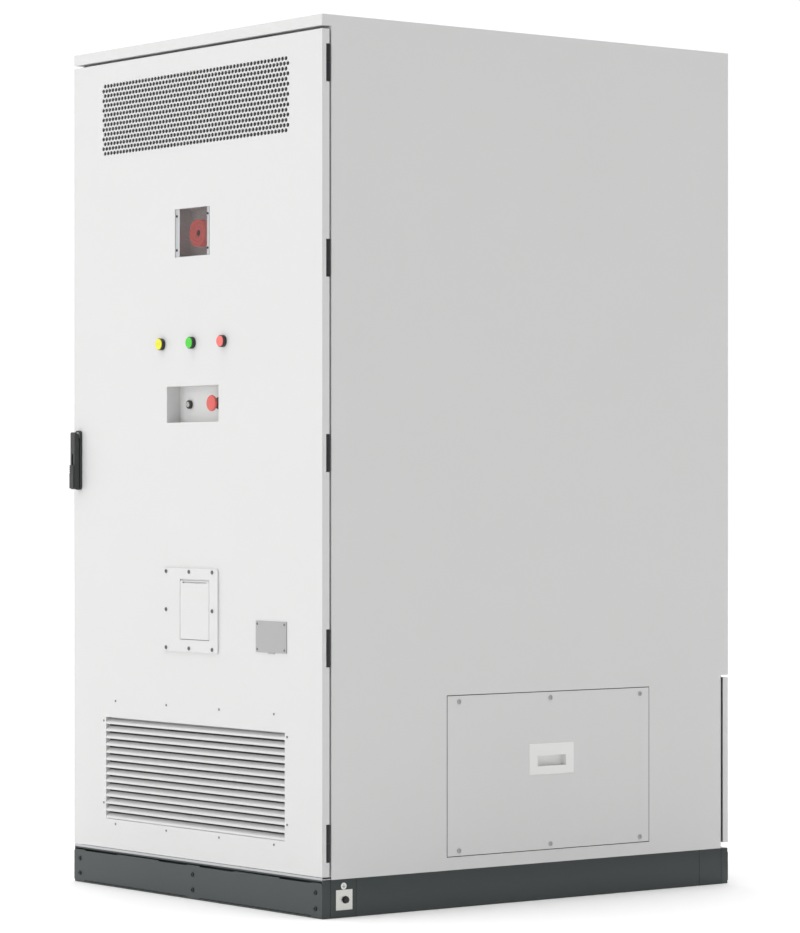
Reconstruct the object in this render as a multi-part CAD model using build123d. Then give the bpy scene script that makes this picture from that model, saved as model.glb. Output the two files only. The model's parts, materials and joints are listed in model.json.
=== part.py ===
from build123d import *
import math
import os

# Outdoor battery cabinet, free-standing, with one full-width front door.
# Millimetres. X runs to the right of someone facing the door, Y runs from the door to the back,
# Z is up. The origin is on the floor, in the middle of the footprint.

# ---- overall ----
WIDTH = 1068.0
DEPTH = 1292.0
HEIGHT = 2120.0
SHEET = 2.0                # panels, roof and door skin
HEAVY = 3.0                # floor tray and runners

# ---- plinth ----
PLINTH_H = 90.5
PLINTH_COVER_T = 2.0
PLINTH_BEAM = 24.4         # how far the front and rear beams stand out past the corner blocks
CORNER_Y = 75.2
CORNER_X = 90.0
PLINTH_WALL = 4.0
ANCHOR_HOLE = 18.0         # for an M16 anchor
FOOT_PLATE = 8.0
FORK_W, FORK_H = 200.0, 60.0
FORK_PITCH = 500.0
COVER_GAP = 3.5            # above and below the removable plinth cover
COVER_CORNER = 7.0

# ---- door ----
DOOR_LOW = 97.5
DOOR_HIGH = 2085.5
DOOR_RETURN = 21.5         # depth of the folded edge
ROOF_LIP = 27.0
PANEL_SET_BACK = 27.0      # from the door face to the side panel's front edge
PANEL_FLANGE = 6.0
STIFFENER = 40.0
STIFFENER_DEPTH = 18.0
STIFFENER_X = 484.0        # outer side of the upright stiffeners
SEAL_W = 12.0
SEAL_IN = 10.0             # seal's outer edge, in from the stiffener's outer edge
SEAL_GAP = 0.5
DOOR_EDGE_BAR = 8.0        # door edge to the stiffener ring, top and bottom

# ---- door hinges ----
HINGE_COUNT = 5
HINGE_LOW = 176.15         # middle of the lowest hinge
HINGE_PITCH = 457.6
HINGE_H = 85.0
HINGE_R = 6.0
HINGE_PIN_R = 3.0
HINGE_PROUD = 1.5          # knuckle beyond the door's side, so that its corner swings clear
HINGE_LEAF = 4.0
HINGE_BACK = 20.0          # axis behind the door face
NOTCH_GAP = 2.0
RUNNING = 0.08             # radial clearance of a pin or shaft in its bore
AIR = 0.3                  # clearance between pieces that pass each other

# ---- frame ----
POST_W = 65.0
POST_D = 60.0
POST_OUT = 520.0           # outer side of the posts from the middle
POST_WALL = 3.0
POST_LIP = 14.0
FRAME_FRONT = 31.0         # from the door face to the posts
RAIL_W = 40.0
SIDE_RAIL_T = 15.0
SIDE_RAIL_H = 40.0
SIDE_RAIL_Z = (720.0, 1440.0)

# ---- rear ----
REAR_SPLIT = 532.0         # height of the split between the rear cover and the rear panel
REAR_COVER_LOW = 104.8
REAR_COVER_HIGH = 526.1
REAR_COVER_D = 17.7
REAR_CUT = 25.0            # side panel cut back beside the rear cover

# ---- right side access cover ----
ACCESS_Y = (-270.5, 374.9)
ACCESS_Z = (123.3, 509.0)
ACCESS_GAP = 2.0
ACCESS_LEDGE = 18.0
CUP_Y, CUP_Z = 56.0, 345.2
CUP_W, CUP_H = 143.3, 76.6
CUP_PROUD = 2.0
CUP_SLOT_W, CUP_SLOT_H = 90.6, 26.0
CUP_SLOT_RISE = -4.5       # slot middle from the cup's middle
CUP_DEPTH = 14.0

# ---- perforated screen ----
SCREEN_HALF_W = 404.0
SCREEN_Z = (1846.0, 2040.0)
HOLE_PITCH = 36.0
HOLE_R = 12.6              # to the corners of the hole
SCREEN_EDGE = 20.0         # bare border to the first hole centres

# ---- louvre ----
LOUVRE_HALF_W = 385.0
LOUVRE_Z = (171.6, 429.0)
LOUVRE_SLATS = 14
LOUVRE_SHEET = 1.5
LOUVRE_FLANGE = (404.0, 151.0, 480.0)   # half width, bottom, top

# ---- beacon window and control recess ----
BEACON_HALF_W = 75.0
BEACON_Z = (1578.7, 1697.7)
BEACON_X = -1.0
BEACON_LAMP_Z = 1636.0
BEACON_LAMP_R = 34.0
BEACON_LAMP_BACK = 15.0
BEACON_POCKET_D = 46.0
BEACON_COVER_BACK = 1.0
RECESS_HALF_W = 111.6
RECESS_Z = (1171.0, 1260.4)
RECESS_DEPTH = 40.0
POCKET_SHEET = 1.5
POCKET_FLANGE = 12.0

# ---- 22 mm control devices ----
LAMP_PITCH = 132.0
LAMP_Z = 1366.0
LAMP_R = 14.75
LAMP_PROUD = 12.0
BEZEL_T = 6.0
LENS_R = 12.0
BARREL_R = 11.0
BARREL_GAP = 0.3
BLOCK = 30.0
BLOCK_D = 28.0
KEY_X, KEY_Z = -66.0, 1216.0
KEY_FLANGE_R = 10.5
KEY_CORE_R = 6.5
ESTOP_X, ESTOP_Z = 66.0, 1217.0
ESTOP_R = 20.0
ESTOP_BASE_R = 15.0
ESTOP_STEM_R = 8.0
ESTOP_TRAVEL = 5.0
ESTOP_BACK = 8.0           # head front behind the door face

# ---- vent plate and flap ----
VENT_X = -8.85
VENT_Z = (606.2, 812.6)
VENT_W = 243.5
VENT_T = 4.0
VENT_CORNER = 8.0
FLAP_X = (-46.9, 76.1)
FLAP_Z = (638.0, 775.8)
FLAP_T = 2.2
FLAP_PIN_R = 1.4
FLAP_AXIS_UP = 4.5         # pin above the top of the flap sheet
FLAP_SIDE_GAP = 1.5

# ---- port plate ----
PORT_X = (269.6, 393.9)
PORT_Z = (616.9, 691.8)
PORT_T = 2.5

# ---- swing handle and rod lock ----
HANDLE_X = -508.0
HANDLE_Z = (1004.8, 1156.0)
HANDLE_W = 24.0
HANDLE_BASE_T = 6.0
HUB_Z = 1143.0
HUB_R = 9.5
SPINDLE_R = 5.0
LEVER_W = 19.0
LEVER_T = 14.0
LEVER_LOW = 1006.0
PIVOT_R = 2.0
PIVOT_OUT = 13.0           # lever pivot in front of the door face
PIVOT_CORNER = 5.0
TONGUE_W = 8.0
COVER_Z = (1008.0, 1068.0)
COVER_T = 4.0
COVER_W = 17.0
COVER_TRAVEL = 28.0
CYLINDER_Z = 1020.0
CYLINDER_R = 7.0
CYLINDER_D = 11.0
GEAR_MODULE = 1.5
GEAR_TEETH = 16
GEAR_ADDENDUM = 1.3
GEAR_DEDENDUM = 1.8
GEAR_ANGLE = 20.0
GEAR_BACKLASH = 0.25
GEAR_WIDTH = 8.0
ROD_T = 7.5                # rod thickness behind the teeth
ROD_W = 10.0
ROD_END = 70.0             # rod tips from the door's top and bottom edges
GUIDE_Z = (1500.0, 1900.0, 320.0, 760.0)
CASE_H = 90.0
CASE_WALL = 1.6

# ---- inside ----
BAY_FRONT = 126.0          # from the door face to the front of the equipment
PACK_COUNT = 5
PACK_W, PACK_H, PACK_D = 800.0, 225.0, 1080.0
PACK_LOW = 488.0
PACK_PITCH = 244.0
EAR_W, EAR_T = 30.0, 3.0
RUNNER_H = 40.0
RUNNER_REACH = 78.0
SHELF_GAP = 14.0
BOX_W, BOX_H, BOX_D = 385.0, 300.0, 620.0
BOX_GAP = 30.0
FAN_R = 66.0
FAN_WALL = 2.0
FAN_HUB_R = 22.0
FAN_BLADES = 7
FAN_DEPTH = 26.0
FAN_SHAFT_R = 4.0
HUB_CAP = 4.0
COOLER_H = 345.0
COOLER_W = 800.0
COOLER_D = 760.0
COOLER_FAN_R = 132.0
COOLER_HUB_R = 40.0
CANISTER_R = 28.0
CANISTER_L = 300.0
GLAND_W, GLAND_D = 320.0, 190.0
GLAND_Y = 420.0
GLAND_LAP = 15.0
GLAND_HOLE_R = 25.5
ISOLATOR_R = 22.0

# ---- positions worked out from the above ----
HALF_W = WIDTH / 2
FACE = -DEPTH / 2                     # the door's outer face
REAR = DEPTH / 2
SKIN_BACK = FACE + SHEET
PANEL_IN = HALF_W - SHEET             # inner face of a side panel
PANEL_FRONT = FACE + PANEL_SET_BACK
ROOF_LOW = HEIGHT - ROOF_LIP
TRAY_TOP = PLINTH_H + HEAVY
CORNER_END = FACE + PLINTH_BEAM
ANCHOR_X = HALF_W - CORNER_X / 2
ANCHOR_Y = -CORNER_END - CORNER_Y / 2
HINGE_X = HALF_W + HINGE_PROUD - HINGE_R
HINGE_Y = FACE + HINGE_BACK
POST_FRONT = FACE + FRAME_FRONT
POST_IN = POST_OUT - POST_W
REAR_SEAT = REAR - REAR_COVER_D
STIFFENER_BACK = SKIN_BACK + STIFFENER_DEPTH
EQUIPMENT = FACE + BAY_FRONT
PITCH_R = GEAR_MODULE * GEAR_TEETH / 2
GEAR_Y = SKIN_BACK + 4.0              # front of the pinion
SHELF_Z = PACK_LOW + PACK_COUNT * PACK_PITCH - SHELF_GAP
LEVER_BACK = FACE - HANDLE_BASE_T - 2.0
LEVER_FRONT = LEVER_BACK - LEVER_T


# ---- helpers ----
def block(x0, x1, y0, y1, z0, z1):
    """A box between two corners."""
    return Pos((x0 + x1) / 2, (y0 + y1) / 2, (z0 + z1) / 2) * Box(x1 - x0, y1 - y0, z1 - z0)


def rod_x(radius, x0, x1, y, z):
    return Pos((x0 + x1) / 2, y, z) * Rot(0, 90, 0) * Cylinder(radius, x1 - x0)


def rod_y(radius, y0, y1, x, z):
    return Pos(x, (y0 + y1) / 2, z) * Rot(90, 0, 0) * Cylinder(radius, y1 - y0)


def rod_z(radius, z0, z1, x, y):
    return Pos(x, y, (z0 + z1) / 2) * Cylinder(radius, z1 - z0)


def front_plane(x, y, z):
    """A plane that faces the door's outside: its x is X and its y is Z."""
    return Plane(origin=(x, y, z), x_dir=(1, 0, 0), z_dir=(0, -1, 0))


def side_plane(x, y, z):
    """A plane that faces right: its x is Y and its y is Z."""
    return Plane(origin=(x, y, z), x_dir=(0, 1, 0), z_dir=(1, 0, 0))


def outline(points):
    return make_face(Polyline(*points, close=True))


def along_x(points, x0, x1):
    return extrude(side_plane(x0, 0, 0) * outline(points), amount=x1 - x0)


def along_y(points, y0, y1):
    return extrude(front_plane(0, y1, 0) * outline(points), amount=y1 - y0)


def along_z(points, z0, z1):
    return extrude(Pos(0, 0, z0) * outline(points), amount=z1 - z0)


def folded(points, thickness):
    """The outline of a folded sheet: one face follows the points, the sheet lies to their left."""
    directions = []
    for (ax, ay), (bx, by) in zip(points, points[1:]):
        length = math.hypot(bx - ax, by - ay)
        directions.append(((bx - ax) / length, (by - ay) / length))
    inner = []
    for i, (px, py) in enumerate(points):
        ux, uy = directions[max(i - 1, 0)]
        vx, vy = directions[min(i, len(directions) - 1)]
        scale = thickness / (1 + ux * vx + uy * vy)
        inner.append((px - (uy + vy) * scale, py + (ux + vx) * scale))
    return list(points) + inner[::-1]


def front_plate(x0, x1, z0, z1, y_back, thickness, corner):
    """A plate parallel to the door with rounded corners."""
    face = front_plane((x0 + x1) / 2, y_back, (z0 + z1) / 2) * RectangleRounded(x1 - x0, z1 - z0, corner)
    return extrude(face, amount=thickness)


def hexagon_y(radius, y0, y1, x, z):
    """A six-sided head whose axis is along Y."""
    return extrude(front_plane(x, y1, z) * RegularPolygon(radius, 6), amount=y1 - y0)


def hexagon_x(radius, x0, x1, y, z):
    return extrude(side_plane(x0, y, z) * RegularPolygon(radius, 6), amount=x1 - x0)


def both_sides(shape):
    return [shape, mirror(shape, about=Plane.YZ)]


def save(name, shapes):
    """Writes one piece, or a group of separate solids, as a STEP file."""
    solids = []
    for shape in shapes if isinstance(shapes, list) else [shapes]:
        solids.extend(shape.solids())
    export_step(solids[0] if len(solids) == 1 else Compound(children=solids), f"parts/{name}.step")


# ---- plinth ----
def plinth():
    y0, y1 = CORNER_END, CORNER_END + CORNER_Y
    x0, x1 = HALF_W - CORNER_X, HALF_W
    corner = block(x0, x1, y0, y1, 0, PLINTH_H)
    corner -= block(x0 - 1, x1 - PLINTH_WALL, y0 + PLINTH_WALL, y1 - PLINTH_WALL,
                    FOOT_PLATE, PLINTH_H - PLINTH_WALL)
    corner -= rod_z(ANCHOR_HOLE / 2, -1, FOOT_PLATE + 1, ANCHOR_X, -ANCHOR_Y)
    front = both_sides(corner)
    save("plinth_corners", front + [mirror(piece, about=Plane.XZ) for piece in front])

    channel = folded([(HALF_W - 50, PLINTH_H), (HALF_W, PLINTH_H), (HALF_W, 0), (HALF_W - 50, 0)],
                     -PLINTH_WALL)
    sides = both_sides(along_y(channel, y1, -y1))
    beam_front = FACE + PLINTH_COVER_T
    beam = block(-HALF_W, HALF_W, beam_front, y0, 0, PLINTH_H)
    beam -= block(PLINTH_WALL - HALF_W, HALF_W - PLINTH_WALL, beam_front - 1, y0 - PLINTH_WALL,
                  PLINTH_WALL, PLINTH_H - PLINTH_WALL)
    middle = PLINTH_H / 2
    for x in (-FORK_PITCH / 2, FORK_PITCH / 2):
        beam -= block(x - FORK_W / 2, x + FORK_W / 2, y0 - 2 * PLINTH_WALL, y0 + 1,
                      middle - FORK_H / 2, middle + FORK_H / 2)
    save("plinth_rails", sides + [beam, mirror(beam, about=Plane.XZ)])

    cover = front_plate(-HALF_W, HALF_W, COVER_GAP, PLINTH_H - 2 * COVER_GAP, beam_front,
                        PLINTH_COVER_T, COVER_CORNER)
    save("plinth_covers", [cover, mirror(cover, about=Plane.XZ)])

    plate = block(HALF_W, HALF_W + 1.5, FACE + 39.5, FACE + 87.8, 17.9, 65.7)
    bolt_y, bolt_z = FACE + 67, 41.8
    save("earth_plate", plate - rod_x(5.1, HALF_W - 1, HALF_W + 3, bolt_y, bolt_z))
    bolt = rod_x(5, HALF_W, HALF_W + 3, bolt_y, bolt_z) + rod_x(9, HALF_W + 1.5, HALF_W + 3, bolt_y, bolt_z)
    save("earth_bolt", bolt + hexagon_x(8.5, HALF_W + 3, HALF_W + 8, bolt_y, bolt_z))


# ---- floor ----
def floor_parts():
    tray = along_x(folded([(FACE, DOOR_LOW - 1), (FACE, PLINTH_H), (REAR_SEAT, PLINTH_H)], HEAVY),
                   -PANEL_IN, PANEL_IN)
    tray -= block(-GLAND_W / 2, GLAND_W / 2, GLAND_Y - GLAND_D / 2, GLAND_Y + GLAND_D / 2,
                  PLINTH_H - 1, TRAY_TOP + 1)
    save("floor_tray", tray)
    half_w, half_d = GLAND_W / 2 + GLAND_LAP, GLAND_D / 2 + GLAND_LAP
    plate = block(-half_w, half_w, GLAND_Y - half_d, GLAND_Y + half_d, TRAY_TOP, TRAY_TOP + HEAVY)
    for i in range(4):
        plate -= rod_z(GLAND_HOLE_R, TRAY_TOP - 1, TRAY_TOP + HEAVY + 1,
                       (i - 1.5) * GLAND_W / 4, GLAND_Y)
    save("gland_plate", plate)


# ---- outer panels ----
def panels():
    rear_low = REAR - REAR_CUT
    shape = [(PANEL_FRONT, PLINTH_H), (rear_low, PLINTH_H), (rear_low, REAR_SPLIT),
             (REAR, REAR_SPLIT), (REAR, HEIGHT), (FACE, HEIGHT), (FACE, ROOF_LOW),
             (PANEL_FRONT, ROOF_LOW)]
    panel = along_x(shape, PANEL_IN, HALF_W)
    panel += block(PANEL_IN - PANEL_FLANGE, PANEL_IN, PANEL_FRONT, PANEL_FRONT + SHEET,
                   TRAY_TOP + HEAVY, ROOF_LOW)
    save("side_panel_left", mirror(panel, about=Plane.YZ))

    y0, y1 = ACCESS_Y[0] - ACCESS_GAP, ACCESS_Y[1] + ACCESS_GAP
    z0, z1 = ACCESS_Z[0] - ACCESS_GAP, ACCESS_Z[1] + ACCESS_GAP
    panel -= block(PANEL_IN - 1, HALF_W + 1, y0, y1, z0, z1)
    ledge = block(PANEL_IN - SHEET, PANEL_IN, y0 - 8, y1 + 8, z0 - 8, z1 + 8)
    ledge -= block(PANEL_IN - SHEET - 1, HALF_W, y0 + ACCESS_LEDGE, y1 - ACCESS_LEDGE,
                   z0 + ACCESS_LEDGE, z1 - ACCESS_LEDGE)
    save("side_panel_right", panel + ledge)

    cover = block(PANEL_IN, HALF_W, ACCESS_Y[0], ACCESS_Y[1], ACCESS_Z[0], ACCESS_Z[1])
    half_w, half_h = CUP_W / 2 - 6, CUP_H / 2 - 6
    cover -= block(PANEL_IN - 1, HALF_W + 1, CUP_Y - half_w, CUP_Y + half_w, CUP_Z - half_h, CUP_Z + half_h)
    save("access_cover", cover)
    rim = extrude(side_plane(HALF_W, CUP_Y, CUP_Z) * Rectangle(CUP_W, CUP_H), amount=CUP_PROUD, taper=40)
    body = block(HALF_W - CUP_DEPTH - SHEET, HALF_W, CUP_Y - half_w, CUP_Y + half_w,
                 CUP_Z - half_h, CUP_Z + half_h)
    slot_z = CUP_Z + CUP_SLOT_RISE
    slot = extrude(side_plane(HALF_W - CUP_DEPTH, CUP_Y, slot_z) * Rectangle(CUP_SLOT_W, CUP_SLOT_H),
                   amount=CUP_DEPTH + CUP_PROUD + 1)
    save("pull_cup", rim + body - slot)

    roof = along_x(folded([(PANEL_FRONT, ROOF_LOW), (FACE, ROOF_LOW), (FACE, HEIGHT),
                           (REAR, HEIGHT), (REAR, HEIGHT - ROOF_LIP)], -SHEET), -PANEL_IN, PANEL_IN)
    save("roof_panel", roof)
    rear = folded([(-PANEL_IN, REAR_SEAT), (-PANEL_IN, REAR), (PANEL_IN, REAR), (PANEL_IN, REAR_SEAT)],
                  -SHEET)
    save("rear_panel", along_z(rear, REAR_SPLIT, HEIGHT - ROOF_LIP))
    tray = block(-HALF_W, HALF_W, REAR_SEAT, REAR, REAR_COVER_LOW, REAR_COVER_HIGH)
    tray -= block(SHEET - HALF_W, HALF_W - SHEET, REAR_SEAT - 1, REAR - SHEET,
                  REAR_COVER_LOW + SHEET, REAR_COVER_HIGH - SHEET)
    save("rear_cover", tray)


# ---- frame ----
def frame():
    """Four lipped channel posts, front and rear rails, and side rails."""
    y0, y1 = POST_FRONT, POST_FRONT + POST_D
    channel = folded([(POST_IN, y0 + POST_LIP), (POST_IN, y0), (POST_OUT, y0), (POST_OUT, y1),
                      (POST_IN, y1), (POST_IN, y1 - POST_LIP)], POST_WALL)
    top = HEIGHT - SHEET
    front_posts = both_sides(along_z(channel, TRAY_TOP, top))
    shift = REAR_SEAT - y1
    rear_posts = [Pos(0, shift, 0) * post for post in front_posts]
    rails = []
    for z0, z1 in ((TRAY_TOP, TRAY_TOP + RAIL_W), (top - RAIL_W, top)):
        rails.append(block(-POST_IN, POST_IN, y0, y0 + RAIL_W, z0, z1))
        rails.append(block(-POST_IN, POST_IN, REAR_SEAT - RAIL_W, REAR_SEAT, z0, z1))
    rear_front = REAR_SEAT - POST_D
    side = []
    for z in SIDE_RAIL_Z + (top - RAIL_W / 2,):
        bar = block(POST_OUT - SIDE_RAIL_T, POST_OUT, y1, rear_front,
                    z - SIDE_RAIL_H / 2, z + SIDE_RAIL_H / 2)
        side += both_sides(bar)
    save("cabinet_frame", front_posts + rear_posts + rails + side)


# ---- equipment ----
def battery_packs():
    front = EQUIPMENT
    for i in range(PACK_COUNT):
        z = PACK_LOW + i * PACK_PITCH
        pack = Pos(0, front + PACK_D / 2, z + PACK_H / 2) * Box(PACK_W, PACK_D, PACK_H)
        pack = chamfer(pack.edges().filter_by(Axis.Y), 12)
        pack += block(-PACK_W / 2 - EAR_W, PACK_W / 2 + EAR_W, front - EAR_T, front, z + 4, z + PACK_H - 4)
        for side in (-1, 1):
            x = side * PACK_W * 0.36
            grip = block(x - 8, x + 8, front - 45, front, z + 55, z + 175)
            grip -= block(x - 9, x + 9, front - 33, front - EAR_T, z + 67, z + 163)
            pack += grip
            pack += rod_y(16, front - 24, front, side * 150, z + 160)
        pack += block(-60, 60, front - 14, front, z + 30, z + 70)
        save(f"battery_pack_{i + 1}", pack)
    links = []
    for i in range(PACK_COUNT - 1):
        z = PACK_LOW + i * PACK_PITCH
        for side in (-1, 1):
            x = side * 150
            link = block(x - 11, x + 11, front - 40, front - 24, z + 160, z + 160 + PACK_PITCH)
            links.append(chamfer(link.edges().filter_by(Axis.X), 6))
    # alternate sides, so that the packs stand in series
    save("power_links", [link for k, link in enumerate(links) if k in (0, 3, 4, 7)])


def runners():
    """Angle runners under each pack, and one shelf for the boxes above them."""
    shapes = []
    for i in range(PACK_COUNT):
        z = PACK_LOW + i * PACK_PITCH
        low = z - HEAVY
        angle = folded([(POST_IN - RUNNER_REACH, low), (POST_IN, low), (POST_IN, low + RUNNER_H)], HEAVY)
        shapes += both_sides(along_y(angle, POST_FRONT + POST_D - POST_LIP, REAR_SEAT))
    shelf = folded([(-POST_IN, SHELF_Z - 20), (-POST_IN, SHELF_Z), (POST_IN, SHELF_Z),
                    (POST_IN, SHELF_Z - 20)], -HEAVY)
    shapes.append(along_y(shelf, POST_FRONT + POST_D - 10, REAR_SEAT))
    save("rack_runners", shapes)


def fan(radius, hub_r, blades, front, x, z, shaft_r):
    """A hub with pitched blades, bored for its shaft; it spins about Y."""
    rotor = rod_y(hub_r, front, front + FAN_DEPTH, x, z)
    blade = extrude(
        Plane(origin=(x + hub_r - 3, front + FAN_DEPTH / 2, z), x_dir=(0, 0.82, 0.57), z_dir=(1, 0, 0))
        * Rectangle(FAN_DEPTH, 3.0), amount=radius - hub_r)
    for i in range(blades):
        turned = Pos(x, 0, z) * Rot(0, i * 360 / blades, 0) * Pos(-x, 0, -z) * blade
        rotor += turned
    ring = rod_y(radius, front - 5, front + FAN_DEPTH + 5, x, z)
    return (rotor & ring) - rod_y(shaft_r + RUNNING, front + HUB_CAP, front + FAN_DEPTH + 1, x, z)


def fan_tunnel(case, radius, front, x, z, shaft_r):
    """Opens a round tunnel for a fan and leaves its shaft standing on the tunnel's floor."""
    floor_y = front + FAN_DEPTH + 16
    case -= rod_y(radius + FAN_WALL, front - 12, floor_y, x, z)
    return case + rod_y(shaft_r, front + HUB_CAP + AIR, floor_y, x, z)


def boxes():
    z0, z1 = SHELF_Z, SHELF_Z + BOX_H
    y0 = EQUIPMENT + 40
    y1 = y0 + BOX_D
    left = block(-BOX_GAP / 2 - BOX_W, -BOX_GAP / 2, y0, y1, z0, z1)
    left = chamfer(left.edges().filter_by(Axis.Y), 8)
    knob_x, knob_z = -BOX_GAP / 2 - BOX_W / 2, z0 + BOX_H * 0.62
    left += rod_y(ISOLATOR_R + 8, y0 - 6, y0, knob_x, knob_z)
    left += rod_y(6, y0 - 20, y0, knob_x, knob_z)
    save("control_box", left)
    knob = rod_y(ISOLATOR_R, y0 - 18, y0 - 6 - AIR, knob_x, knob_z)
    knob += block(knob_x - 6, knob_x + 6, y0 - 34, y0 - 18, knob_z - 40, knob_z + 20)
    save("isolator_handle", knob - rod_y(6 + RUNNING, y0 - 20 - AIR, y0, knob_x, knob_z))

    x0 = BOX_GAP / 2
    right = block(x0, x0 + BOX_W, y0, y1, z0, z1)
    right = chamfer(right.edges().filter_by(Axis.Y), 8)
    fan_z = z0 + BOX_H * 0.62
    for i in range(2):
        fan_x = x0 + BOX_W * (0.27 + 0.46 * i)
        right = fan_tunnel(right, FAN_R, y0 + 4, fan_x, fan_z, FAN_SHAFT_R)
        save(f"converter_fan_{i + 1}",
             fan(FAN_R, FAN_HUB_R, FAN_BLADES, y0 + 4, fan_x, fan_z, FAN_SHAFT_R))
    save("converter_case", right)

    z0 = TRAY_TOP
    cooler = block(-COOLER_W / 2, COOLER_W / 2, EQUIPMENT, EQUIPMENT + COOLER_D, z0, z0 + COOLER_H)
    cooler = chamfer(cooler.edges().filter_by(Axis.Y), 15)
    fan_x, fan_z = -COOLER_W * 0.22, z0 + COOLER_H * 0.52
    cooler = fan_tunnel(cooler, COOLER_FAN_R, EQUIPMENT + 6, fan_x, fan_z, 2 * FAN_SHAFT_R)
    for i in range(8):
        x = COOLER_W * (0.08 + 0.045 * i)
        cooler -= block(x, x + 18, EQUIPMENT - 1, EQUIPMENT + 25, z0 + 60, z0 + COOLER_H - 50)
    save("cooling_unit", cooler)
    save("cooling_fan", fan(COOLER_FAN_R, COOLER_HUB_R, FAN_BLADES - 2, EQUIPMENT + 6, fan_x, fan_z,
                            2 * FAN_SHAFT_R))

    y = y0 - CANISTER_R - 12
    z = SHELF_Z + CANISTER_R
    canister = rod_x(CANISTER_R, 60, 60 + CANISTER_L, y, z)
    canister = chamfer(canister.edges().filter_by(GeomType.CIRCLE), 8)
    canister += rod_x(10, 60 + CANISTER_L, 60 + CANISTER_L + 22, y, z)
    for x in (110, CANISTER_L):
        canister += block(x - 12, x + 12, y - CANISTER_R - 3, y + CANISTER_R + 3, SHELF_Z, z - 6)
    save("gas_canister", canister)


# ---- door ----
def hinge_heights():
    return [HINGE_LOW + i * HINGE_PITCH for i in range(HINGE_COUNT)]


def door():
    shape = folded([(-HALF_W, FACE + DOOR_RETURN), (-HALF_W, FACE), (HALF_W, FACE),
                    (HALF_W, FACE + DOOR_RETURN)], SHEET)
    skin = along_z(shape, DOOR_LOW, DOOR_HIGH)
    for z in (DOOR_LOW, DOOR_HIGH - SHEET):
        skin += block(-PANEL_IN, PANEL_IN, SKIN_BACK, FACE + DOOR_RETURN, z, z + SHEET)
    front, back = FACE - 1, SKIN_BACK + 1
    skin -= block(-SCREEN_HALF_W, SCREEN_HALF_W, front, back, *SCREEN_Z)
    skin -= block(-LOUVRE_HALF_W, LOUVRE_HALF_W, front, back, *LOUVRE_Z)
    skin -= block(BEACON_X - BEACON_HALF_W, BEACON_X + BEACON_HALF_W, front, back, *BEACON_Z)
    skin -= block(-RECESS_HALF_W, RECESS_HALF_W, front, back, *RECESS_Z)
    skin -= block(FLAP_X[0] + 8, FLAP_X[1] - 8, front, back, FLAP_Z[0] + 8, FLAP_Z[1] - 8)
    for i in (-1, 0, 1):
        skin -= rod_y(BARREL_R + BARREL_GAP, front, back, i * LAMP_PITCH, LAMP_Z)
    skin -= rod_y(SPINDLE_R + 1, front, back, HANDLE_X, HUB_Z)
    for z in hinge_heights():
        half = HINGE_H / 2 + NOTCH_GAP
        skin -= block(PANEL_IN - 1, HALF_W + 1, HINGE_Y - HINGE_R - NOTCH_GAP, FACE + DOOR_RETURN + 1,
                      z - half, z + half)
    save("door_skin", skin)

    # a ring of hat sections behind the skin, with two cross members
    low, high = DOOR_LOW + DOOR_EDGE_BAR, DOOR_HIGH - DOOR_EDGE_BAR
    wall, brim = POCKET_SHEET, 8.0
    depth = STIFFENER_DEPTH - wall
    hat = folded([(0, 0), (brim, 0), (brim, depth), (STIFFENER - brim, depth),
                  (STIFFENER - brim, 0), (STIFFENER, 0)], wall)
    upright = along_z([(STIFFENER_X - STIFFENER + u, SKIN_BACK + v) for u, v in hat], low, high)
    bars = both_sides(upright)
    inner = STIFFENER_X - STIFFENER
    for z in (low, high - STIFFENER, 880.0, 1480.0):
        bars.append(along_x([(SKIN_BACK + v, z + u) for u, v in hat], -inner, inner))
    save("door_stiffeners", bars)

    x, z0, z1 = STIFFENER_X - SEAL_IN, low + SEAL_IN, high - SEAL_IN
    seal_back = POST_FRONT - SEAL_GAP
    seal = block(-x, x, STIFFENER_BACK, seal_back, z0, z1)
    seal -= block(SEAL_W - x, x - SEAL_W, STIFFENER_BACK - 1, seal_back + 1, z0 + SEAL_W, z1 - SEAL_W)
    save("door_seal", seal)


def hinges():
    """Lift-off hinges: the lower half and the pin stay on the post, the upper half is on the door."""
    fixed, moving = [], []
    skin_in = HINGE_X - HINGE_R
    for z in hinge_heights():
        low, high = z - HINGE_H / 2, z + HINGE_H / 2
        leaf = rod_z(HINGE_R, low, z - AIR / 2, HINGE_X, HINGE_Y)
        leaf += block(POST_OUT, POST_OUT + HINGE_LEAF, HINGE_Y, POST_FRONT + POST_D * 0.6, low, z - AIR / 2)
        leaf += rod_z(HINGE_PIN_R, z - 1, high - 4, HINGE_X, HINGE_Y)
        fixed.append(leaf)
        arm = rod_z(HINGE_R, z + AIR / 2, high, HINGE_X, HINGE_Y)
        arm += block(skin_in, skin_in + HINGE_LEAF, SKIN_BACK, HINGE_Y, z + AIR / 2, high)
        arm += block(skin_in - 24, skin_in, SKIN_BACK, SKIN_BACK + HEAVY, z + AIR / 2, high)
        arm -= rod_z(HINGE_PIN_R + RUNNING, z - 1, high - 4 + AIR, HINGE_X, HINGE_Y)
        moving.append(arm)
    save("hinge_leaves", fixed)
    save("door_hinge_leaves", moving)


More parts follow.
